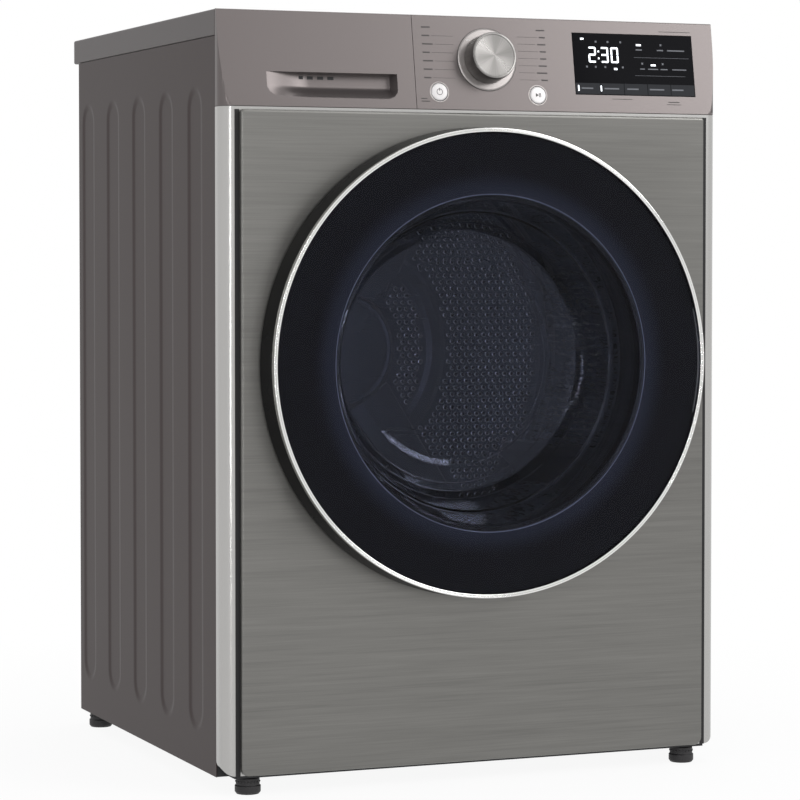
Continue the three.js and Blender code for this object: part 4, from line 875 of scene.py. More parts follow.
def spun_metal_painted_glint(name, colour, matrix, place, roughness=0.25, glint_swing=0.45):
    """Metal turned on a lathe, about the axis through place in the frame that matrix gives; a painted highlight
    swings its colour with the angle.
    """
    material = new_material(name, colour, roughness, 0.9)
    tree = material.node_tree
    source = put(tree, "ShaderNodeTexCoord")
    local = put(tree, "ShaderNodeMapping", vector_type="TEXTURE")
    local.inputs["Location"].default_value = matrix @ on_face(place)
    local.inputs["Rotation"].default_value = matrix.to_euler()
    split = put(tree, "ShaderNodeSeparateXYZ")
    tree.links.new(source.outputs["Object"], local.inputs["Vector"])
    tree.links.new(local.outputs["Vector"], split.inputs["Vector"])
    turn = math_node(tree, "ARCTAN2", split.outputs["Z"], split.outputs["X"])
    # Painted highlight: two bright sectors about the axis stand in for the glint that lamps make on spun metal.
    painted_glint = math_node(tree, "ABSOLUTE", math_node(tree, "COSINE", math_node(tree, "ADD", turn, 0.75)))
    painted_glint = math_node(tree, "POWER", painted_glint, 5.0)
    second = math_node(tree, "ABSOLUTE", math_node(tree, "COSINE", math_node(tree, "ADD", turn, 2.3)))
    painted_glint = math_node(tree, "ADD", math_node(tree, "MULTIPLY", painted_glint, 0.62),
                      math_node(tree, "MULTIPLY", math_node(tree, "POWER", second, 12.0), 0.3))
    spokes = put(tree, "ShaderNodeTexNoise", noise_dimensions="1D")
    spokes.inputs["Scale"].default_value = 1.0
    spokes.inputs["Detail"].default_value = 3.0
    tree.links.new(math_node(tree, "MULTIPLY", turn, SPOKE_SCALE), spokes.inputs["W"])
    mask = math_node(tree, "ADD", painted_glint, math_node(tree, "MULTIPLY", spokes.outputs["Fac"], 0.25), clamp=True)
    shade(material, mask, scaled(colour, 1 - glint_swing), scaled(colour, 1 + glint_swing), roughness + 0.08, roughness)
    square = math_node(tree, "ADD", math_node(tree, "MULTIPLY", split.outputs["X"], split.outputs["X"]),
                       math_node(tree, "MULTIPLY", split.outputs["Z"], split.outputs["Z"]))
    rings = math_node(tree, "SINE", math_node(tree, "MULTIPLY", math_node(tree, "SQRT", square), RING_WAVES))
    bump(material, rings, 0.08, 0.00005)
    return material


def on_fascia(name, profile, place, steps=160, edge=0.4):
    """A piece turned about the fascia's Y axis through place."""
    points = [(radius * MM, along * MM) for radius, along in rounded_profile(profile, edge, 3)]
    bm = turned_mesh(points, on_face(place), steps=steps)
    bmesh.ops.transform(bm, matrix=FASCIA, verts=bm.verts)
    return mesh_object(name, bm, 30)


KNOB_METAL = spun_metal_painted_glint("spun_knob_metal_painted_glint", srgb(122, 120, 118), FASCIA, KNOB)
BUTTON_FACE = plastic("pale_button_plastic", srgb(214, 211, 210), 0.32, 0.03, 2000.0, Metallic=0.2)
BEZEL_METAL = plastic("satin_bezel", srgb(150, 145, 143), 0.3, 0.05, 1800.0, Metallic=0.7)
MARK_INK = plastic("grey_print", srgb(62, 58, 57), 0.6, 0.02)
WHITE_INK = plastic("white_print", srgb(236, 236, 234), 0.6, 0.02)

# %% Program knob and its bezel
knob = on_fascia("turned_knob", [(0, -22.7, 0), (23.2, -22.7, 1.2), (23.9, -23.0, 0.3), (26.0, -22.9, 0.8),
                                 (26.6, -20.5), (27.1, -6), (27.4, -2.0, 0.6), (25.4, -1.9, 0.2),
                                 (6, -1.9, 0.2), (6, 14.8, 0.3), (0, 14.8, 0)], KNOB)
dress(knob, KNOB_METAL, "program_knob", "program_knob", slot="knob_metal")
bezel = on_fascia("flat_bezel", [(7.2, -1.5, 0.2), (33.6, -1.5, 0.3), (35.2, -0.9, 0.3), (35.2, -0.35, 0.1),
                                 (7.2, -0.35, 0.1)], KNOB)
dress(bezel, BEZEL_METAL, "cabinet", "knob_bezel", slot="fascia_paint")
outline = on_fascia("bezel_outline", [(34.9, -0.62, 0.05), (35.7, -0.5, 0.05), (35.7, -0.05, 0.05),
                                      (34.9, -0.05, 0.05)], KNOB)
dress(outline, MARK_INK, "cabinet", slot="fascia_paint")
knob_low, knob_high = box_mm("program_knob")
print("knob diameter", round(knob_high.x - knob_low.x, 1))

# %% Power and start buttons
def push_button(name, place, body):
    cap = on_fascia(name + "_cap", [(0, -1.45, 0), (8.2, -1.45, 0.6), (9.7, -1.0, 0.8), (9.95, 0.4, 0.2),
                                    (9.95, 7.2, 0.2), (0, 7.2, 0)], place, 96)
    dress(cap, BUTTON_FACE, body, body, slot="button_plastic")
    groove = on_fascia(name + "_groove", [(BUTTON_HOLE, -0.28, 0.1), (11.5, -0.28, 0.1), (11.7, -0.02, 0.05),
                                          (BUTTON_HOLE, 0.5, 0.05)], place, 96)
    dress(groove, BEZEL_METAL, "cabinet", slot="fascia_paint")


push_button("power", POWER, "power_button")
push_button("start", START, "start_button")


def flat_mark(low, high):
    """A thin printed patch on the face: low and high are (x, up) in millimetres."""
    return block("mark", (low[0], -0.16, low[1]), (high[0], 0.02, high[1]), matrix=FASCIA)


SIGN_TOP, SIGN_FOOT = -1.56, -1.4


def cap_mark(place, low, high):
    """A thin patch on a button's cap, about the cap's own centre."""
    stand = FASCIA @ Matrix.Translation(on_face(place))
    return block("mark", (low[0], SIGN_TOP, low[1]), (high[0], SIGN_FOOT, high[1]), matrix=stand)


def round_sign(inner, outer, place, steps):
    """A thin ring on a button's cap, or a figure with few corners."""
    return on_fascia("sign", [(inner, SIGN_TOP), (outer, SIGN_TOP), (outer, SIGN_FOOT), (inner, SIGN_FOOT)],
                     place, steps, 0)


power_sign = [round_sign(3.0, 3.6, POWER, 48), cap_mark(POWER, (-0.35, 1.2), (0.35, 4.4))]
dress(join_pieces("power_sign", power_sign), MARK_INK, "power_button", slot="button_plastic")
start_sign = [cap_mark(START, (x, -2.4), (x + 0.8, 2.4)) for x in (1.0, 2.6)]
triangle = round_sign(0, 2.4, {"x": START["x"] - 1.6, "up": START["up"]}, 3)
dress(join_pieces("start_sign", start_sign + [triangle]), MARK_INK, "start_button", slot="button_plastic")
print("buttons made")

# %% [markdown]
# ## Blank programme marks
# The dial is ringed by blank marks: a short bar stands where a programme name would be printed, and a
# thin leader runs from it towards the knob. They carry no words.

# %% Programme marks
generator = random.Random(7)
MARKS_TOP, MARKS_SPAN, BAR_HALF, LEADER_HALF = 93, 57.0, 0.75, 0.14
LEADER_CLEAR, LEADER_REACH = 39, 34  # how near a leader comes to the knob's axis, across and up
marks = []
for side, count, far, shortest, longest in ((-1, 7, -62.0, 8, 15), (1, 8, 88.0, 7, 14)):
    for index in range(count):
        up = MARKS_TOP - index * MARKS_SPAN / (count - 1)
        length = generator.uniform(shortest, longest)
        near = far - side * length
        marks.append(flat_mark((min(far, near), up - BAR_HALF), (max(far, near), up + BAR_HALF)))
        start, end = sorted((near - side * 2.5, KNOB["x"] + side * LEADER_CLEAR))
        points_inwards = side * (near - side * 2.5 - KNOB["x"]) > LEADER_CLEAR + 3
        if abs(up - KNOB["up"]) < LEADER_REACH and points_inwards:
            marks.append(flat_mark((start, up - LEADER_HALF), (end, up + LEADER_HALF)))
for low, high in (((-67, 9), (-57, 10)), ((-67, 12), (-60, 13)), ((238, 13.4), (252, 14.4)),
                  ((236, 10.8), (254, 11.4)), ((167, 16), (192, 16.6)), ((232, 95.4), (272, 96.0))):
    marks.append(flat_mark(low, high))
dress(join_pieces("programme_marks", marks), MARK_INK, "cabinet", slot="fascia_paint")
pointer_x, pointer_up = KNOB["x"] - 22, KNOB["up"] + 21.5
pointer = block("knob_pointer_mark", (pointer_x - 2.4, -1.62, pointer_up - 0.4),
                (pointer_x + 2.4, -1.45, pointer_up + 0.4), matrix=FASCIA)
dress(pointer, WHITE_INK, "cabinet", slot="fascia_paint")
print("programme marks:", len(marks))

# %% [markdown]
# ## Display
# A black glass window with lit strips just behind its face: a remaining time of two hours and thirty
# minutes in seven-segment digits, a few plain lights, and a row of five touch keys.

# %% Display window
DISPLAY_GLASS = new_material("display_black_glass", srgb(9, 9, 12), 0.08, 0.0, Specular_IOR_Level=0.015)
glass_outputs = place_group(DISPLAY_GLASS, "moulded", Scale=60.0)
shade(DISPLAY_GLASS, glass_outputs["Cloud"], srgb(7, 7, 10), srgb(14, 14, 18), 0.07, 0.12)
KEY_STRIP = plastic("dark_key_strip", srgb(46, 47, 50), 0.4, 0.02, Specular_IOR_Level=0.05)
LIT = new_material("lit_segment", (0.9, 0.95, 1.0), 0.5, 0.0, Emission_Strength=1.6)
LIT.node_tree.nodes["Principled BSDF"].inputs["Emission Color"].default_value = (0.92, 0.96, 1.0, 1)
DIM = plastic("unlit_print", srgb(92, 94, 100), 0.5, 0.02)
x0, x1, low, high = DISPLAY
window = block("display_pane", (x0, 0.03, low), (x1, 1.97, high), edge=0.4, steps=2, matrix=FASCIA)
dress(window, DISPLAY_GLASS, "cabinet", "display_window", slot="display_glass")


def lit(low_place, high_place):
    return block("lit", (low_place[0], -0.10, low_place[1]), (high_place[0], 0.06, high_place[1]),
                 matrix=FASCIA)


SEGMENTS = {"0": "abcdef", "2": "abged", "3": "abgcd"}


def digit(shape, x, up, width=9.4, tall=18.0, bar=1.9):
    half = tall / 2
    bars = {"a": (0.8, tall - bar, width - 0.8, tall), "d": (0.8, 0, width - 0.8, bar),
            "g": (0.8, half - bar / 2, width - 0.8, half + bar / 2), "f": (0, half + 0.4, bar, tall - 0.8),
            "b": (width - bar, half + 0.4, width, tall - 0.8), "e": (0, 0.8, bar, half - 0.4),
            "c": (width - bar, 0.8, width, half - 0.4)}
    return [lit((x + bars[key][0], up + bars[key][1]), (x + bars[key][2], up + bars[key][3]))
            for key in SEGMENTS[shape]]


lights = digit("2", 141, 58) + digit("3", 156.5, 58) + digit("0", 169, 58)
lights += [lit((152.7, 62), (154.5, 63.8)), lit((152.7, 70), (154.5, 71.8))]
lights += [lit((202, 78.5), (208, 80.5)), lit((219, 55.5), (225, 57.5)), lit((132, 84), (136, 86))]
lights += [lit((172, 50), (176, 52.2)), lit((125.2, 25), (126.6, 31.5)), lit((153.5, 25), (154.9, 31.5))]
dress(join_pieces("lit_segments", lights), LIT, "cabinet", slot="display_glass")
dims = [lit((198, 64.9), (268, 65.2)), lit((198, 43.9), (262, 44.2))]
dims += [lit((x, 73.2), (x + length, 74.6)) for x, length in ((201, 8), (228, 8), (241, 22))]
dims += [lit((x, 51.2), (x + length, 52.4)) for x, length in ((205, 6), (215, 13), (231, 9), (246, 18))]
dims += [lit((x, up), (x + 2.2, up + 2.2))
         for x, up in ((137, 52), (148, 52), (160, 52), (182, 52), (150, 81), (165, 81), (181, 81), (207, 57),
                       (233, 57), (232, 79))]
dims += [lit((129.5 + 28.6 * k, 27.4), (144 + 28.6 * k + (k % 2) * 4, 29.0)) for k in range(5)]
KEY_PITCH = 29.6
strip = block("key_strip", (x0 + 0.6, -0.05, low + 0.6), (x1 - 0.6, 0.06, low + 13.2), matrix=FASCIA)
gaps = [block("gap", (x0 + KEY_PITCH * k + 1.6, -0.3, low), (x0 + KEY_PITCH * k + 2.4, 0.3, low + 14),
              matrix=FASCIA) for k in range(1, 5)]
boolean(strip, gaps)
dress(strip, KEY_STRIP, "cabinet", slot="display_glass")
dress(join_pieces("unlit_marks", dims), DIM, "cabinet", slot="display_glass")
print("display lights:", len(lights), "unlit marks:", len(dims))

# %% [markdown]
# ## Door
# The door is a chrome ring, a tinted pane, a dark ring-shaped frame with a light liner behind, and the
# clear bowl that reaches into the drum. All are turned about the door's axis. A dark printed border on
# the back of the pane hides the frame; towards the edge of the window it turns a lighter blue, a painted halo
# of reflected light.

# %% Chrome ring
DOOR_R = box_mm("door_trim_ring")[1].x
trim = turned("polished_trim_ring", rounded_profile(
    [(DOOR_R - 4.4, -41.1), (DOOR_R - 0.1, -41.1), (DOOR_R - 0.1, -48.9), (DOOR_R - 1.9, -48.9),
     (DOOR_R - 2.2, -48.2, 0.2), (DOOR_R - 2.5, -48.9, 0.3), (DOOR_R - 4.4, -48.6)], 0.8), steps=220)
dress(trim, CHROME, "door", "door_trim_ring", slot="chrome_trim")

# %% Tinted pane and its printed border
DOOR_TINT = new_material("tinted_door_pane", (0.42, 0.44, 0.52), 0.02, 0.0, Transmission_Weight=1.0,
                         IOR=1.14)
pane_wave = place_group(DOOR_TINT, "moulded", Scale=14.0)
bump(DOOR_TINT, pane_wave["Cloud"], 0.02, 0.0004)
pane = turned("tinted_pane", rounded_profile([(0, -46.9, 0), (DOOR_R - 5, -46.9), (DOOR_R - 5, -43.1),
                                              (0, -43.1, 0)], 0.9))
dress(pane, DOOR_TINT, "door", "door_glass", slot="door_tint")

PRINT_INNER, PAINTED_HALO_OUTER = 186.0, 214.0
PRINT_FRONT, PRINT_BACK = -43.02, -42.85
BORDER = new_material("printed_door_border_painted_halo", srgb(22, 22, 27), 0.30, 0.0, Specular_IOR_Level=0.15)
tree = BORDER.node_tree
place = put(tree, "ShaderNodeTexCoord")
offset = put(tree, "ShaderNodeVectorMath", operation="SUBTRACT")
offset.inputs[1].default_value = DOOR_AXIS
flatten = put(tree, "ShaderNodeVectorMath", operation="MULTIPLY")
flatten.inputs[1].default_value = (1, 0, 1)
radius = put(tree, "ShaderNodeVectorMath", operation="LENGTH")
join_up(tree, (place.outputs["Object"], offset.inputs[0]), (offset.outputs["Vector"], flatten.inputs[0]),
        (flatten.outputs["Vector"], radius.inputs[0]))
# The border runs from a lighter blue at the window's edge to its dark print: the blue is a painted reflection,
# a halo of light.
painted_halo = put(tree, "ShaderNodeMapRange", interpolation_type="SMOOTHSTEP")
painted_halo.inputs["From Min"].default_value = PRINT_INNER * MM
painted_halo.inputs["From Max"].default_value = PAINTED_HALO_OUTER * MM
tree.links.new(radius.outputs["Value"], painted_halo.inputs["Value"])
shade(BORDER, painted_halo.outputs["Result"], srgb(68, 70, 80), srgb(34, 32, 33))


def printed_ring(name, inner, outer):
    return turned(name, [(inner, PRINT_FRONT), (outer, PRINT_FRONT), (outer, PRINT_BACK),
                         (inner, PRINT_BACK)])


dress(printed_ring("printed_border", PRINT_INNER, DOOR_R - 6), BORDER, "door", slot="black_gloss")
# A pale ring at the border's inner edge is a painted highlight: the bright line of light along the glass edge
# of the window.
EDGE_GLINT = plastic("painted_glass_edge_glint", srgb(176, 182, 196), 0.2, 0.02)
dress(printed_ring("window_edge_line", PRINT_INNER - 1.0, PRINT_INNER - 0.1), EDGE_GLINT, "door",
      slot="bowl_glass")
print("pane and border made")

# %% Door frame, liner and hinge notch
def hinge_notch():
    return block("notch", (199, -40.6, door_z - 58), (300, 0, door_z + 58))


door_frame = turned("door_frame_moulding", rounded_profile(
    [(190.2, -40.6), (256, -40.6, 1.2), (260, -9.2, 1.0), (257.2, -9.2), (253.2, -37.8), (193.2, -37.8),
     (193.2, -12.4), (190.2, -12.4)], 0.5, 3), steps=200)
boolean(door_frame, [hinge_notch()])
soften(door_frame, 0.3, 1, 60)
dress(door_frame, BLACK_GLOSS, "door", "door_frame", slot="black_gloss")
RIB_TOP, RIB_DIP, RIB_ROUND = -9.1, -10.4, 0.8
liner_line = [(190.3, -11.9), (256.2, -11.9), (256.2, -9.6)]
for middle in (247, 202):
    liner_line += [(middle + 4, RIB_TOP, RIB_ROUND), (middle, RIB_DIP, RIB_ROUND),
                   (middle - 4, RIB_TOP, RIB_ROUND)]
liner = turned("door_liner_moulding", rounded_profile(liner_line + [(190.3, -9.6)], 0.4, 3), steps=200)
boolean(liner, [hinge_notch()])
WELL_RADIUS = 225
wells = [turned("well", [(0, -10.6), (4.2, -10.6), (4.6, -8), (0, -8)],
                at(WELL_RADIUS * math.cos(turn), 0, door_z + WELL_RADIUS * math.sin(turn)), steps=32)
         for turn in (math.radians(degrees) for degrees in range(20, 360, 40))]
boolean(liner, [join_pieces("wells", wells)])
dress(liner, DARK_GREY_PLASTIC, "door", "door_liner", slot="grey_plastic")
print("door frame faces:", len(door_frame.data.polygons), "liner faces:", len(liner.data.polygons))

# %% [markdown]
# ## Bowl
# The bowl is one pressed glass shape: a flange, a wall that narrows in two soft steps, and a shallow
# crowned end with a round step in it. The steps catch the light as bright arcs.

# %% Bowl
BOWL_GLASS = new_material("clear_bowl_glass", (0.93, 0.95, 0.98), 0.015, 0.0, Transmission_Weight=1.0,
                          IOR=1.52)
bowl_wave = place_group(BOWL_GLASS, "moulded", Scale=24.0)
bump(BOWL_GLASS, bowl_wave["Cloud"], 0.03, 0.0005)
bowl_outside = [(189.3, -42.6, 0.3), (189.3, -38.8, 0.4), (184.6, -38.6, 1.5), (181.6, -30, 4), (172, 8, 6),
                (168.6, 10.5, 2.0), (158, 48, 8), (149.4, 60.8, 6), (139, 67.0, 3), (118, 67.6, 2),
                (112, 69.6, 2), (0, 70.2, 0)]
bowl_inside = [(0, 66.4, 0), (112, 65.8, 2), (119, 63.6, 2), (137, 62.8, 3), (145.6, 57.4, 6), (154, 46, 8),
               (164.6, 8.5, 2.0), (168, 5, 6), (177.6, -31, 4), (179.6, -42.6, 0.6)]
bowl = turned("pressed_glass_bowl", rounded_profile(bowl_outside + bowl_inside, 1, 6), steps=200)
dress(bowl, BOWL_GLASS, "door", "door_bowl", slot="bowl_glass")
print("bowl faces:", len(bowl.data.polygons))

# %% [markdown]
# ## Hinge and latch
# The steel bracket on the face plate carries a pin; the knuckle on the door turns about it. The hook on
# the door's other side drops into the slot in the face plate.

# %% Knuckle, bracket and hook
HINGE_X, ARM_BACK = 246, -33.9
HINGE_AT = at(HINGE_X, -30, door_z)
barrel = turned("barrel", rounded_profile([(3.85, -25.8), (7.95, -25.8), (7.95, 25.8), (3.85, 25.8)], 0.5, 2),
                HINGE_AT, axis="Z", steps=64)
leaf_block = block("leaf", (238.3, -42.4, door_z - 25.6), (248.8, -36.9, door_z + 25.6), 0.6)
leaf_plate = block("plate", (216.3, -42.6, door_z - 25.8), (249.8, -40.6, door_z + 25.8), 0.5)
knuckle = join_pieces("hinge_knuckle_steel", [barrel, leaf_block, leaf_plate])
dress(knuckle, ZINC, "door", "door_knuckle", slot="galvanised")
bracket_plate = block("plate", (205.2, -8.7, door_z - 54.8), (224.8, -6.4, door_z + 54.8), 0.5)
arms = []
for low, high in ((-41.9, -30.1), (30.1, 41.9)):
    arms.append(block("root", (209.2, ARM_BACK, door_z + low), (220.8, -7, door_z + high), 0.8))
    arms.append(block("arm", (210, ARM_BACK, door_z + low), (250.8, -26.1, door_z + high), 0.8))
pin = turned("pin", rounded_profile([(0, -41.9, 0), (3.5, -41.9), (3.5, 41.9), (0, 41.9, 0)], 0.5, 2),
             HINGE_AT, axis="Z", steps=48)
heads = [turned("head", rounded_profile([(0, -10.4, 0), (3.4, -10.4), (4.0, -8.6), (0, -8.6, 0)], 0.4, 2),
                at(215, 0, door_z + z), steps=32) for z in (-48, 0, 48)]
bracket = join_pieces("hinge_bracket_steel", [bracket_plate, pin] + arms + heads)
dress(bracket, ZINC, "cabinet", "door_hinge_bracket", slot="galvanised")
hook = block("hook_post", (-228.4, -8.6, door_z - 7.9), (-223.6, 10.9, door_z + 7.9), 0.7)
hook_foot = block("hook_foot", (-234.9, -8.6, door_z - 11.9), (-217.1, -6.8, door_z + 11.9), 0.4)
dress(join_pieces("latch_hook_moulding", [hook, hook_foot]), BLACK_PLASTIC, "door", "door_latch_hook",
      slot="black_plastic")
print("hinge at", [round(v, 4) for v in HINGE_AT])

# %% [markdown]
# ## A geometry-nodes tree for whatever repeats
# Screws, drum dimples and perforations all repeat one small pattern piece. The tree puts the pattern at
# every point of a mesh and turns its Z axis along the point's `direction`. The result is turned into one
# plain mesh, so that no modifier is left.

# %% Repeating tree
def repeating_tree():
    tree = bpy.data.node_groups.new("repeat_pattern", "GeometryNodeTree")
    sockets = {}
    kinds = {"Places": "Geometry", "Pattern": "Object", "Scale": "Float", "Spread": "Float", "Seed": "Int",
             "Finish": "Material"}
    for label, kind in kinds.items():
        socket = tree.interface.new_socket(label, in_out="INPUT", socket_type="NodeSocket" + kind)
        sockets[label] = socket.identifier
    tree.interface.new_socket("Pieces", in_out="OUTPUT", socket_type="NodeSocketGeometry")
    start, end = put(tree, "NodeGroupInput"), put(tree, "NodeGroupOutput")
    points, pattern = put(tree, "GeometryNodeMeshToPoints"), put(tree, "GeometryNodeObjectInfo")
    direction = put(tree, "GeometryNodeInputNamedAttribute", data_type="FLOAT_VECTOR")
    direction.inputs["Name"].default_value = "direction"
    align = put(tree, "FunctionNodeAlignRotationToVector", axis="Z")
    least, most = [math_node(tree, way, start.outputs["Scale"], start.outputs["Spread"])
                   for way in ("SUBTRACT", "ADD")]
    sizes, place = put(tree, "FunctionNodeRandomValue"), put(tree, "GeometryNodeInstanceOnPoints")
    realize, finish = put(tree, "GeometryNodeRealizeInstances"), put(tree, "GeometryNodeSetMaterial")
    join_up(tree, (start.outputs["Places"], points.inputs["Mesh"]),
            (start.outputs["Pattern"], pattern.inputs["Object"]),
            (direction.outputs["Attribute"], align.inputs["Vector"]),
            (points.outputs["Points"], place.inputs["Points"]),
            (pattern.outputs["Geometry"], place.inputs["Instance"]),
            (align.outputs["Rotation"], place.inputs["Rotation"]),
            (least, sizes.inputs[2]), (most, sizes.inputs[3]),
            (start.outputs["Seed"], sizes.inputs["Seed"]), (sizes.outputs[1], place.inputs["Scale"]),
            (place.outputs["Instances"], realize.inputs["Geometry"]),
            (realize.outputs["Geometry"], finish.inputs["Geometry"]),
            (start.outputs["Finish"], finish.inputs["Material"]),
            (finish.outputs["Geometry"], end.inputs["Pieces"]))
    return tree, sockets


REPEAT, REPEAT_SOCKETS = repeating_tree()


def repeat(name, pattern, places, material, seed=1, scale=1.0, spread=0.0):
    """One mesh of copies of pattern; places is a list of (position in metres, direction)."""
    mesh = bpy.data.meshes.new(name)
    mesh.from_pydata([position for position, _ in places], [], [])
    attribute = mesh.attributes.new("direction", "FLOAT_VECTOR", "POINT")
    for index, (_, direction) in enumerate(places):
        attribute.data[index].vector = direction
    piece = bpy.data.objects.new(name, mesh)
    scene.collection.objects.link(piece)
    modifier = piece.modifiers.new("repeat", "NODES")
    modifier.node_group = REPEAT
    values = {"Pattern": pattern, "Scale": scale, "Spread": spread, "Seed": seed, "Finish": material}
    for label, value in values.items():
        modifier[REPEAT_SOCKETS[label]] = value
    apply_modifiers(piece, 40)
    bpy.data.objects.remove(pattern)
    return piece


def pattern_piece(name, profile, steps=12):
    """A small turned pattern about +Z, near the origin; profile in millimetres."""
    return mesh_object(name, turned_mesh([(r * MM, h * MM) for r, h in profile], (0, 0, 0), "Z", steps), 50)


def screw_pattern():
    return pattern_piece("screw_head", [(0, 0), (3.6, 0), (3.9, 0.5), (3.3, 1.6), (1.6, 2.1), (1.5, 1.1),
                                        (0, 1.1)], 20)


print("repeating tree sockets:", len(REPEAT_SOCKETS))

# %% [markdown]
# ## Drum
# The drum is a rolled steel shell with small dimples, a pressed rear wall with three raised arms and
# three fields of perforations, and three plastic lifters.

# %% Drum shell with dimples
drum_low, drum_high = box_mm("drum_shell")
DRUM_R, shell_front, shell_back = drum_high.x, drum_low.y, drum_high.y
DRUM_INSIDE, SHELL_RINGS = DRUM_R - 1.1, (396, 240, 96)
DIMPLE_ROW, DIMPLE_COUNT = 15, 84
shell_line = [(DRUM_R - 3.5, shell_front + 0.3), (DRUM_R - 0.2, shell_front + 0.3),
              (DRUM_R - 0.2, shell_back - 0.2), (DRUM_INSIDE, shell_back - 0.2)]
for y in SHELL_RINGS:
    shell_line += [(DRUM_INSIDE, y + 4), (DRUM_R - 2.6, y + 1), (DRUM_R - 2.6, y - 1), (DRUM_INSIDE, y - 4)]
shell_line += [(DRUM_INSIDE, shell_front + 3), (DRUM_R - 3.5, shell_front + 2)]
shell = turned("rolled_drum_shell", shell_line, DRUM_AXIS)
dress(shell, DRUM_STEEL, "drum", "drum_shell", slot="drum_steel")
dimples = []
for row, y in enumerate(range(112, 390, DIMPLE_ROW)):
    for step in range(DIMPLE_COUNT):
        turn = 2 * math.pi * (step + 0.5 * (row % 2)) / DIMPLE_COUNT
        from_lifter = abs((math.degrees(turn) + 90) % 120 - 60)
        if from_lifter < 9 or abs(y - SHELL_RINGS[1]) < 8:
            continue
        out = Vector((math.cos(turn), 0, math.sin(turn)))
        dimples.append((Vector(DRUM_AXIS) + out * (DRUM_R - 1.05) * MM + Vector((0, y * MM, 0)), -out))
dimple = pattern_piece("dimple", [(0, 0.9), (1.3, 0.8), (2.6, 0.25), (3.3, 0.0), (3.3, -0.05), (0, -0.05)], 8)
dress(repeat("drum_dimples", dimple, dimples, DRUM_STEEL, 3, 1.0, 0.06), None, "drum", slot="drum_steel")
print("drum dimples:", len(dimples))

# %% Pressed rear wall
REAR_FACE, REAR_EDGE = shell_back - 6, shell_back - 0.2
rear_front = [(0, -13.8, 0), (58, -13.8, 2), (62, -12.6, 1), (66, -13.8, 1), (75, -0.2, 3), (118, -0.2, 2),
              (124, -3.6, 3), (136, -3.6, 3), (142, -0.2, 2), (268, -0.2, 2), (273, -4.5, 3), (281, -4.5, 2),
              (282.6, 0, 1)]
rear_back = [(281.4, 1.2, 1), (74, 1.2, 3), (66, -12.2, 2), (24, -12.2, 0.5)]
rear_front, rear_back = [[(radius, REAR_FACE + depth, size) for radius, depth, size in line]
                         for line in (rear_front, rear_back)]
rear_line = rear_front + [(282.6, REAR_EDGE, 0.3), (281.4, REAR_EDGE, 0.3)] + rear_back
rear_line += [(24, REAR_EDGE, 0.5), (0, REAR_EDGE, 0)]
rear_wall = turned("pressed_rear_wall", rounded_profile(rear_line, 1), DRUM_AXIS)
# The wall and its arms wear the darker copy of the drum steel, as painted shade.
dress(rear_wall, SHADED_WALL_STEEL, "drum", "drum_rear_wall", slot="drum_steel")


def arm_outline(turn, near=70, far=246, wide=32, narrow=25, steps=14):
    """A tapered arm with a round far end, as (x, z) about the drum axis."""
    points = [(near, -wide), (far - narrow, -narrow)]
    points += [(far - narrow + narrow * math.cos(math.radians(a)), narrow * math.sin(math.radians(a)))
               for a in (-90 + 180 * k / steps for k in range(1, steps))]
    points += [(far - narrow, narrow), (near, wide)]
    c, s = math.cos(turn), math.sin(turn)
    return [(x * c - z * s, door_z + x * s + z * c) for x, z in points]


ARM_TURNS = [math.radians(angle) for angle in (184, 64, -56)]
arms = [panel("arm", [arm_outline(turn)], REAR_FACE - 5.4, REAR_FACE + 0.4, edge=2.2, edge_steps=4)
        for turn in ARM_TURNS]
dress(join_pieces("spider_arms", arms), SHADED_WALL_STEEL, "drum", slot="drum_steel")
TOWARDS_DOOR = Vector((0, -1, 0))
HOLE_PITCH, HOLE_ROW, HOLE_ROWS = 9.2, 8.0, range(-34, 35)
perforations = []
for row in HOLE_ROWS:
    for column in HOLE_ROWS:
        x, z = (column + 0.5 * (row % 2)) * HOLE_PITCH, row * HOLE_ROW
        radius, turn = math.hypot(x, z), math.atan2(z, x)
        clear = all(not (radius * math.cos(turn - arm) > 0 and abs(radius * math.sin(turn - arm)) < 35)
                    for arm in ARM_TURNS)
        if (82 < radius < 114 or 146 < radius < 262) and clear:
            perforations.append((at(x, REAR_FACE - 0.3, door_z + z), TOWARDS_DOOR))
HOLE_DARK = plastic("perforation_shadow", srgb(10, 10, 13), 0.6, 0.02)
rim = pattern_piece("eyelet", [(1.9, 0.0), (2.3, 0.55), (2.8, 0.5), (3.5, 0.0), (3.5, -0.1), (1.9, -0.1)], 7)
dress(repeat("perforation_rims", rim, perforations, CHROME, 5), None, "drum", slot="drum_steel")
spot = pattern_piece("spot", [(0, 0.12), (1.95, 0.12), (1.95, -0.02), (0, -0.02)], 8)
dress(repeat("perforation_holes", spot, perforations, HOLE_DARK, 5), None, "drum", slot="drum_steel")
arm_screws = []
for turn in ARM_TURNS:
    for side in (-7, 7):
        x = 224 * math.cos(turn) - side * math.sin(turn)
        z = 224 * math.sin(turn) + side * math.cos(turn)
        arm_screws.append((at(x, REAR_FACE - 5.3, door_z + z), TOWARDS_DOOR))
dress(repeat("spider_screws", screw_pattern(), arm_screws, CHROME, 2), None, "drum", slot="bearing_steel")
print("perforations:", len(perforations))

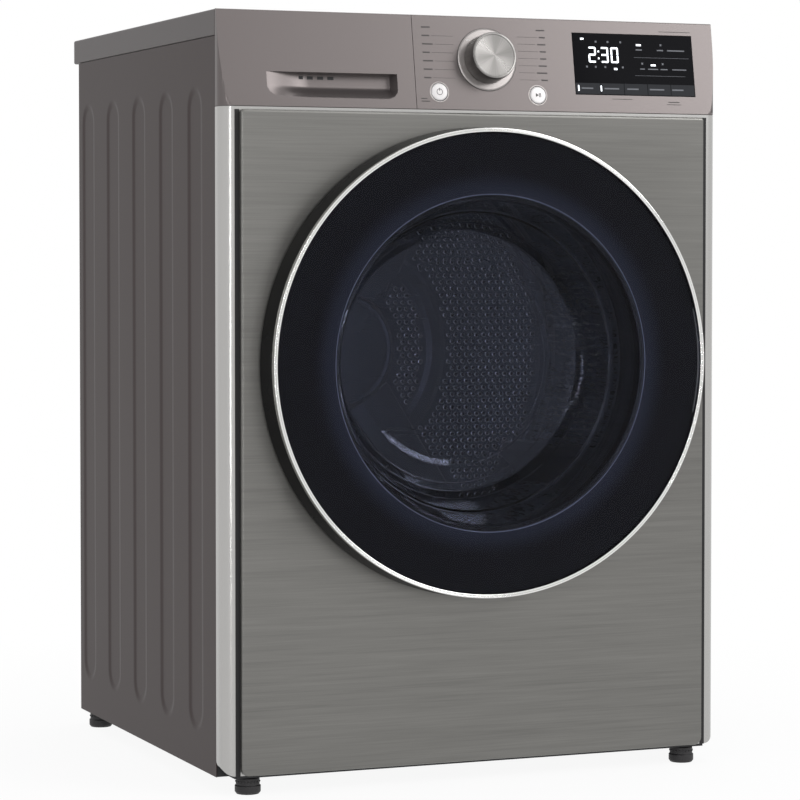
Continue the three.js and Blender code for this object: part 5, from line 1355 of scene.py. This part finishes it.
# %% Lifters
LIFTER_FOOT = door_z - math.sqrt((DRUM_R - 2.3) ** 2 - 29 ** 2)
LIFTER_HALF = ((28.8, 0.2), (20, 11), (13.5, 27), (10.6, 40.7), (5.6, 45.7))  # half width at each height
lifter_right = [(x, LIFTER_FOOT + height) for x, height in LIFTER_HALF]
lifter_outline = lifter_right + [(-x, z) for x, z in reversed(lifter_right)]
up_axis = Matrix.Translation((0, 0, DOOR_AXIS[2]))
for index in range(3):
    spin = up_axis @ Matrix.Rotation(math.radians(60 + 120 * index), 4, "Y") @ up_axis.inverted()
    lifter = panel(f"moulded_lifter_{index + 1}", [lifter_outline], 88.3, 395.7, edge=2.0,
                   matrix=spin @ FRONT, edge_steps=4)
    dress(lifter, GREY_PLASTIC, "drum", f"drum_lifter_{index + 1}", slot="grey_plastic")
print("lifters made")

# %% [markdown]
# ## Behind the door
# A rubber seal lines the door opening. Behind it stand the bulkhead with its collar, the pull-out lint
# filter with its woven mesh, and a frosted lamp.

# %% Seal, lint filter and lamp
seal_line = [(195.7, -6.6), (197, -8.2), (199.1, -8.2), (199.1, 39.4), (195.7, 39.4), (195.7, 30),
             (197.0, 27), (197.0, 23), (195.7, 20), (195.7, 10), (197.0, 7), (197.0, 3), (195.7, 0)]
dress(turned("door_seal_rubber", rounded_profile(seal_line, 0.6, 3)), SEAL_RUBBER, "cabinet", "door_seal",
      slot="seal_felt")
filter_low, filter_high = box_mm("lint_filter")
FILTER_SKIN, FILTER_WALL = Vector((0.2, 0.2, 0.2)), Vector((3, 3, 3))
filter_body = block("filter_body", filter_low + FILTER_SKIN, filter_high - FILTER_SKIN, edge=1.4, steps=3)
pocket = block("pocket", filter_low + FILTER_WALL, filter_high + Vector((-3, -3, 5)))
grip_low = (filter_low.z + 3 * filter_high.z) / 4
grip = block("grip", (-55, filter_low.y + 4, grip_low), (55, filter_high.y + 2, filter_high.z + 2))
windows = [block("window", (x, filter_high.y - 4, filter_low.z + 7),
                 (x + 30, filter_high.y + 2, grip_low - 5)) for x in range(-69, 40, 36)]
boolean(filter_body, [pocket, grip] + windows)
soften(filter_body, 0.4, 1, 60)
dress(filter_body, GREY_PLASTIC, "lint_filter", "lint_filter", slot="grey_plastic")
MESH_WEAVE = new_material("filter_mesh_weave", srgb(196, 198, 200), 0.55)
weave_place = object_coordinates(MESH_WEAVE.node_tree)
threads = []
for label in ("X", "Z"):
    wave = put(MESH_WEAVE.node_tree, "ShaderNodeTexWave", bands_direction=label)
    wave.inputs["Scale"].default_value = 260.0
    MESH_WEAVE.node_tree.links.new(weave_place, wave.inputs["Vector"])
    threads.append(wave.outputs["Fac"])
weave = math_node(MESH_WEAVE.node_tree, "MAXIMUM", threads[0], threads[1])
shade(MESH_WEAVE, weave, srgb(70, 72, 76), srgb(214, 216, 218))
bump(MESH_WEAVE, weave, 0.4, 0.0004)
mesh_sheet = block("filter_mesh", (-71, filter_high.y - 2.4, filter_low.z + 5),
                   (71, filter_high.y - 1.9, grip_low - 3))
dress(mesh_sheet, MESH_WEAVE, "lint_filter", slot="grey_plastic")
lamp_low, lamp_high = box_mm("drum_lamp")
lamp_radius = (lamp_high.x - lamp_low.x) / 2 - 0.2
lamp_line = [(0, 43.5, 0), (lamp_radius, 43.5, 0.3), (lamp_radius, 53, 1.5), (lamp_radius - 3, 59, 2.5),
             (0, 60.0, 0)]
lamp = turned("drum_lamp_lens", rounded_profile(lamp_line, 1), round_axis("drum_lamp"), steps=64)
dress(lamp, LAMP_LENS, "cabinet", "drum_lamp", slot="lamp_lens")
print("lamp radius", round(lamp_radius, 2))

# %% [markdown]
# ## Feet
# Each foot is a ribbed plastic disc under a steel stud.

# %% Feet
FOOT_PLASTIC = plastic("foot_plastic", srgb(26, 24, 26), 0.55, 0.2, 1200.0)
SOLE_RADIUS, RIB_HEIGHT, THREAD_PITCH = 13.0, 13.6, 2.8
sole_line = rounded_profile([(0, 0.1, 0), (12.4, 0.1, 0.4), (14.2, 2.6), (14.2, 9), (SOLE_RADIUS, 10),
                             (SOLE_RADIUS, 17.6), (9, 18.5), (0, 18.6, 0)], 0.7, 3)
stud_line = [(0, 18.5), (3.7, 18.5)]
for turn_count in range(8):
    thread = 20 + THREAD_PITCH * turn_count
    stud_line += [(3.9, thread), (3.2, thread + THREAD_PITCH / 2)]
stud_line += [(3.0, 42.6), (0, 42.8)]
rib_turns = [2 * math.pi * k / 20 for k in range(20)]
for corner in ("front_left", "front_right", "rear_left", "rear_right"):
    name = f"foot_{corner}"
    low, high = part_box(name)
    place = Vector(((low.x + high.x) / 2, (low.y + high.y) / 2, 0))
    sole = turned(name + "_sole", sole_line, place, axis="Z", steps=72)
    stud = turned(name + "_stud", stud_line, place, axis="Z", steps=36)
    outwards = [Vector((math.cos(turn), math.sin(turn), 0)) for turn in rib_turns]
    ribs = [(place + out * SOLE_RADIUS * MM + Vector((0, 0, RIB_HEIGHT * MM)), out) for out in outwards]
    rib = pattern_piece("rib", [(0, 0.9), (0.9, 0.6), (1.3, -0.2), (0, -0.2)], 6)
    grip_ribs = repeat(name + "_ribs", rib, ribs, FOOT_PLASTIC, 4)
    dress(join_pieces(name + "_moulding", [sole, grip_ribs]), FOOT_PLASTIC, name, name, slot="black_plastic")
    dress(stud, ZINC, name, slot="galvanised")
print("feet made")

# %% [markdown]
# ## Back of the cabinet
# The rear panel is a galvanised sheet, embossed about the air duct, with vent slots, a row of screws
# round its edge and the socket of the detachable mains lead.

# %% Rear panel
rear_low, rear_high = box_mm("rear_panel")
rear_y = rear_low.y
VENT_LEFT, VENT_RIGHT, VENT_TALL, VENT_PITCH = -220, -120, 6, 14
DUCT_RING, INNER_RING, SCREW_RING = 262, 60, 274
vent_low = box_mm("base_tub")[1].z + 120
inlet_low, inlet_high = box_mm("cord_inlet")
inlet_box = (inlet_low.x + 4.7, inlet_high.x - 4.7, inlet_low.z + 4.7, inlet_high.z - 4.7)
vents = [outline_rectangle(VENT_LEFT, VENT_RIGHT, z, z + VENT_TALL, (2.9,) * 4, 5)
         for z in (vent_low + VENT_PITCH * k for k in range(8))]
sheet_outline = outline_rectangle(rear_low.x, rear_high.x, rear_low.z, rear_high.z, (2,) * 4, 4)
inlet_outline = outline_rectangle(*inlet_box, (0.5,) * 4, 2)
rear_sheet = panel("rear_sheet", [sheet_outline, inlet_outline] + vents, rear_y + 0.02, rear_y + 0.98,
                   edge=0.15, edge_steps=1)
rings = [turned("ring", rounded_profile([(radius - 4, rear_y + 0.9), (radius - 2, rear_y + 2.1),
                                         (radius + 2, rear_y + 2.1), (radius + 4, rear_y + 0.9)], 0.8, 3),
                steps=160) for radius in (DUCT_RING, INNER_RING)]
boolean(rings[0], [block("vent_clearance", (VENT_LEFT - 10, rear_y - 2, vent_low - 10),
                         (VENT_RIGHT + 10, rear_y + 4, vent_low + 8 * VENT_PITCH + 2))])
frame_bead = panel("bead", [outline_rectangle(-286, 286, 40, 806, (14,) * 4),
                            outline_rectangle(-282, 282, 44, 802, (11,) * 4)],
                   rear_y + 0.8, rear_y + 1.9, edge=0.5)
rear_sheet = join_pieces("rear_sheet_pressed", [rear_sheet, frame_bead] + rings)
dress(rear_sheet, ZINC, "cabinet", "rear_panel", slot="galvanised")
edge_screws = [(x, z) for x in (-292, 292) for z in range(60, 801, 123)]
edge_screws += [(x, z) for z in (28, 812) for x in range(-240, 241, 120)]
edge_screws += [(SCREW_RING * math.cos(turn), door_z + SCREW_RING * math.sin(turn))
                for turn in (math.radians(30 + 60 * k) for k in range(6))]
places = [(at(x, rear_y + 0.95, z), Vector((0, 1, 0))) for x, z in edge_screws]
dress(repeat("rear_screws", screw_pattern(), places, CHROME, 6), None, "cabinet", slot="bearing_steel")
print("rear screws:", len(places))

# %% Mains inlet
inlet_y = inlet_high.y
x0, x1, z0, z1 = inlet_box
shell = block("inlet_shell", (x0 + 0.4, inlet_y - 25.2, z0 + 0.4), (x1 - 0.4, inlet_y - 2, z1 - 0.4), 0.8)
flange = panel("inlet_flange", [outline_rectangle(inlet_low.x + 0.1, inlet_high.x - 0.1, inlet_low.z + 0.1,
                                                  inlet_high.z - 0.1, (4,) * 4, 6)],
               inlet_y - 2.9, inlet_y - 0.1, edge=0.6)
socket = block("socket", (x0 + 5, inlet_y - 19, z0 + 5), (x1 - 5, inlet_y + 3, z1 - 5))
inlet = boolean(boolean(shell, [flange], "UNION"), [socket])
dress(inlet, BLACK_PLASTIC, "cabinet", "cord_inlet", slot="black_plastic")
socket_x, socket_z = (x0 + x1) / 2, (z0 + z1) / 2
pins = [block("pin", (socket_x + x - 1.1, inlet_y - 19.2, socket_z + z - 2.2),
              (socket_x + x + 1.1, inlet_y - 5, socket_z + z + 2.2), 0.4)
        for x, z in ((-7, -1.5), (0, 2), (7, -1.5))]
dress(join_pieces("inlet_pins", pins), CHROME, "cabinet", slot="bearing_steel")
print("inlet pins:", len(pins))

# %% [markdown]
# ## Machinery
# The parts that only show through an open door or tray keep their CAD shapes. Each gets the finish of
# its own stuff: cast iron paint, fins, copper, rubber and moulded plastic.

# %% Finishes of the CAD parts that stay
FINISHES = [
    (BLACK_PLASTIC, ("base_tub", "fan_housing", "fan_wheel", "drain_pump", "door_latch_catch")),
    (ZINC, ("front_bulkhead", "rear_duct", "idler_arm", "idler_post", "drum_shaft")),
    (CHROME, ("rear_bearing", "motor_pulley", "idler_pulley")),
    (CAST, ("drive_motor",)),
    (ENAMEL, ("compressor",)),
    (FIN_METAL, ("evaporator", "condenser")),
    (COPPER, ("refrigerant_pipe",)),
    (RUBBER, ("drive_belt", "drum_roller_left", "drum_roller_right")),
    (BOARD_GREEN, ("control_board",)),
    (WHITE_PLASTIC, ("water_tank", "tank_lid")),
    (GREY_PLASTIC, ("tank_housing",)),
]
for finish, names in FINISHES:
    for name in names:
        nodes[name].data.materials.clear()
        nodes[name].data.materials.append(finish)
print("finished CAD parts:", sum(len(names) for _, names in FINISHES))
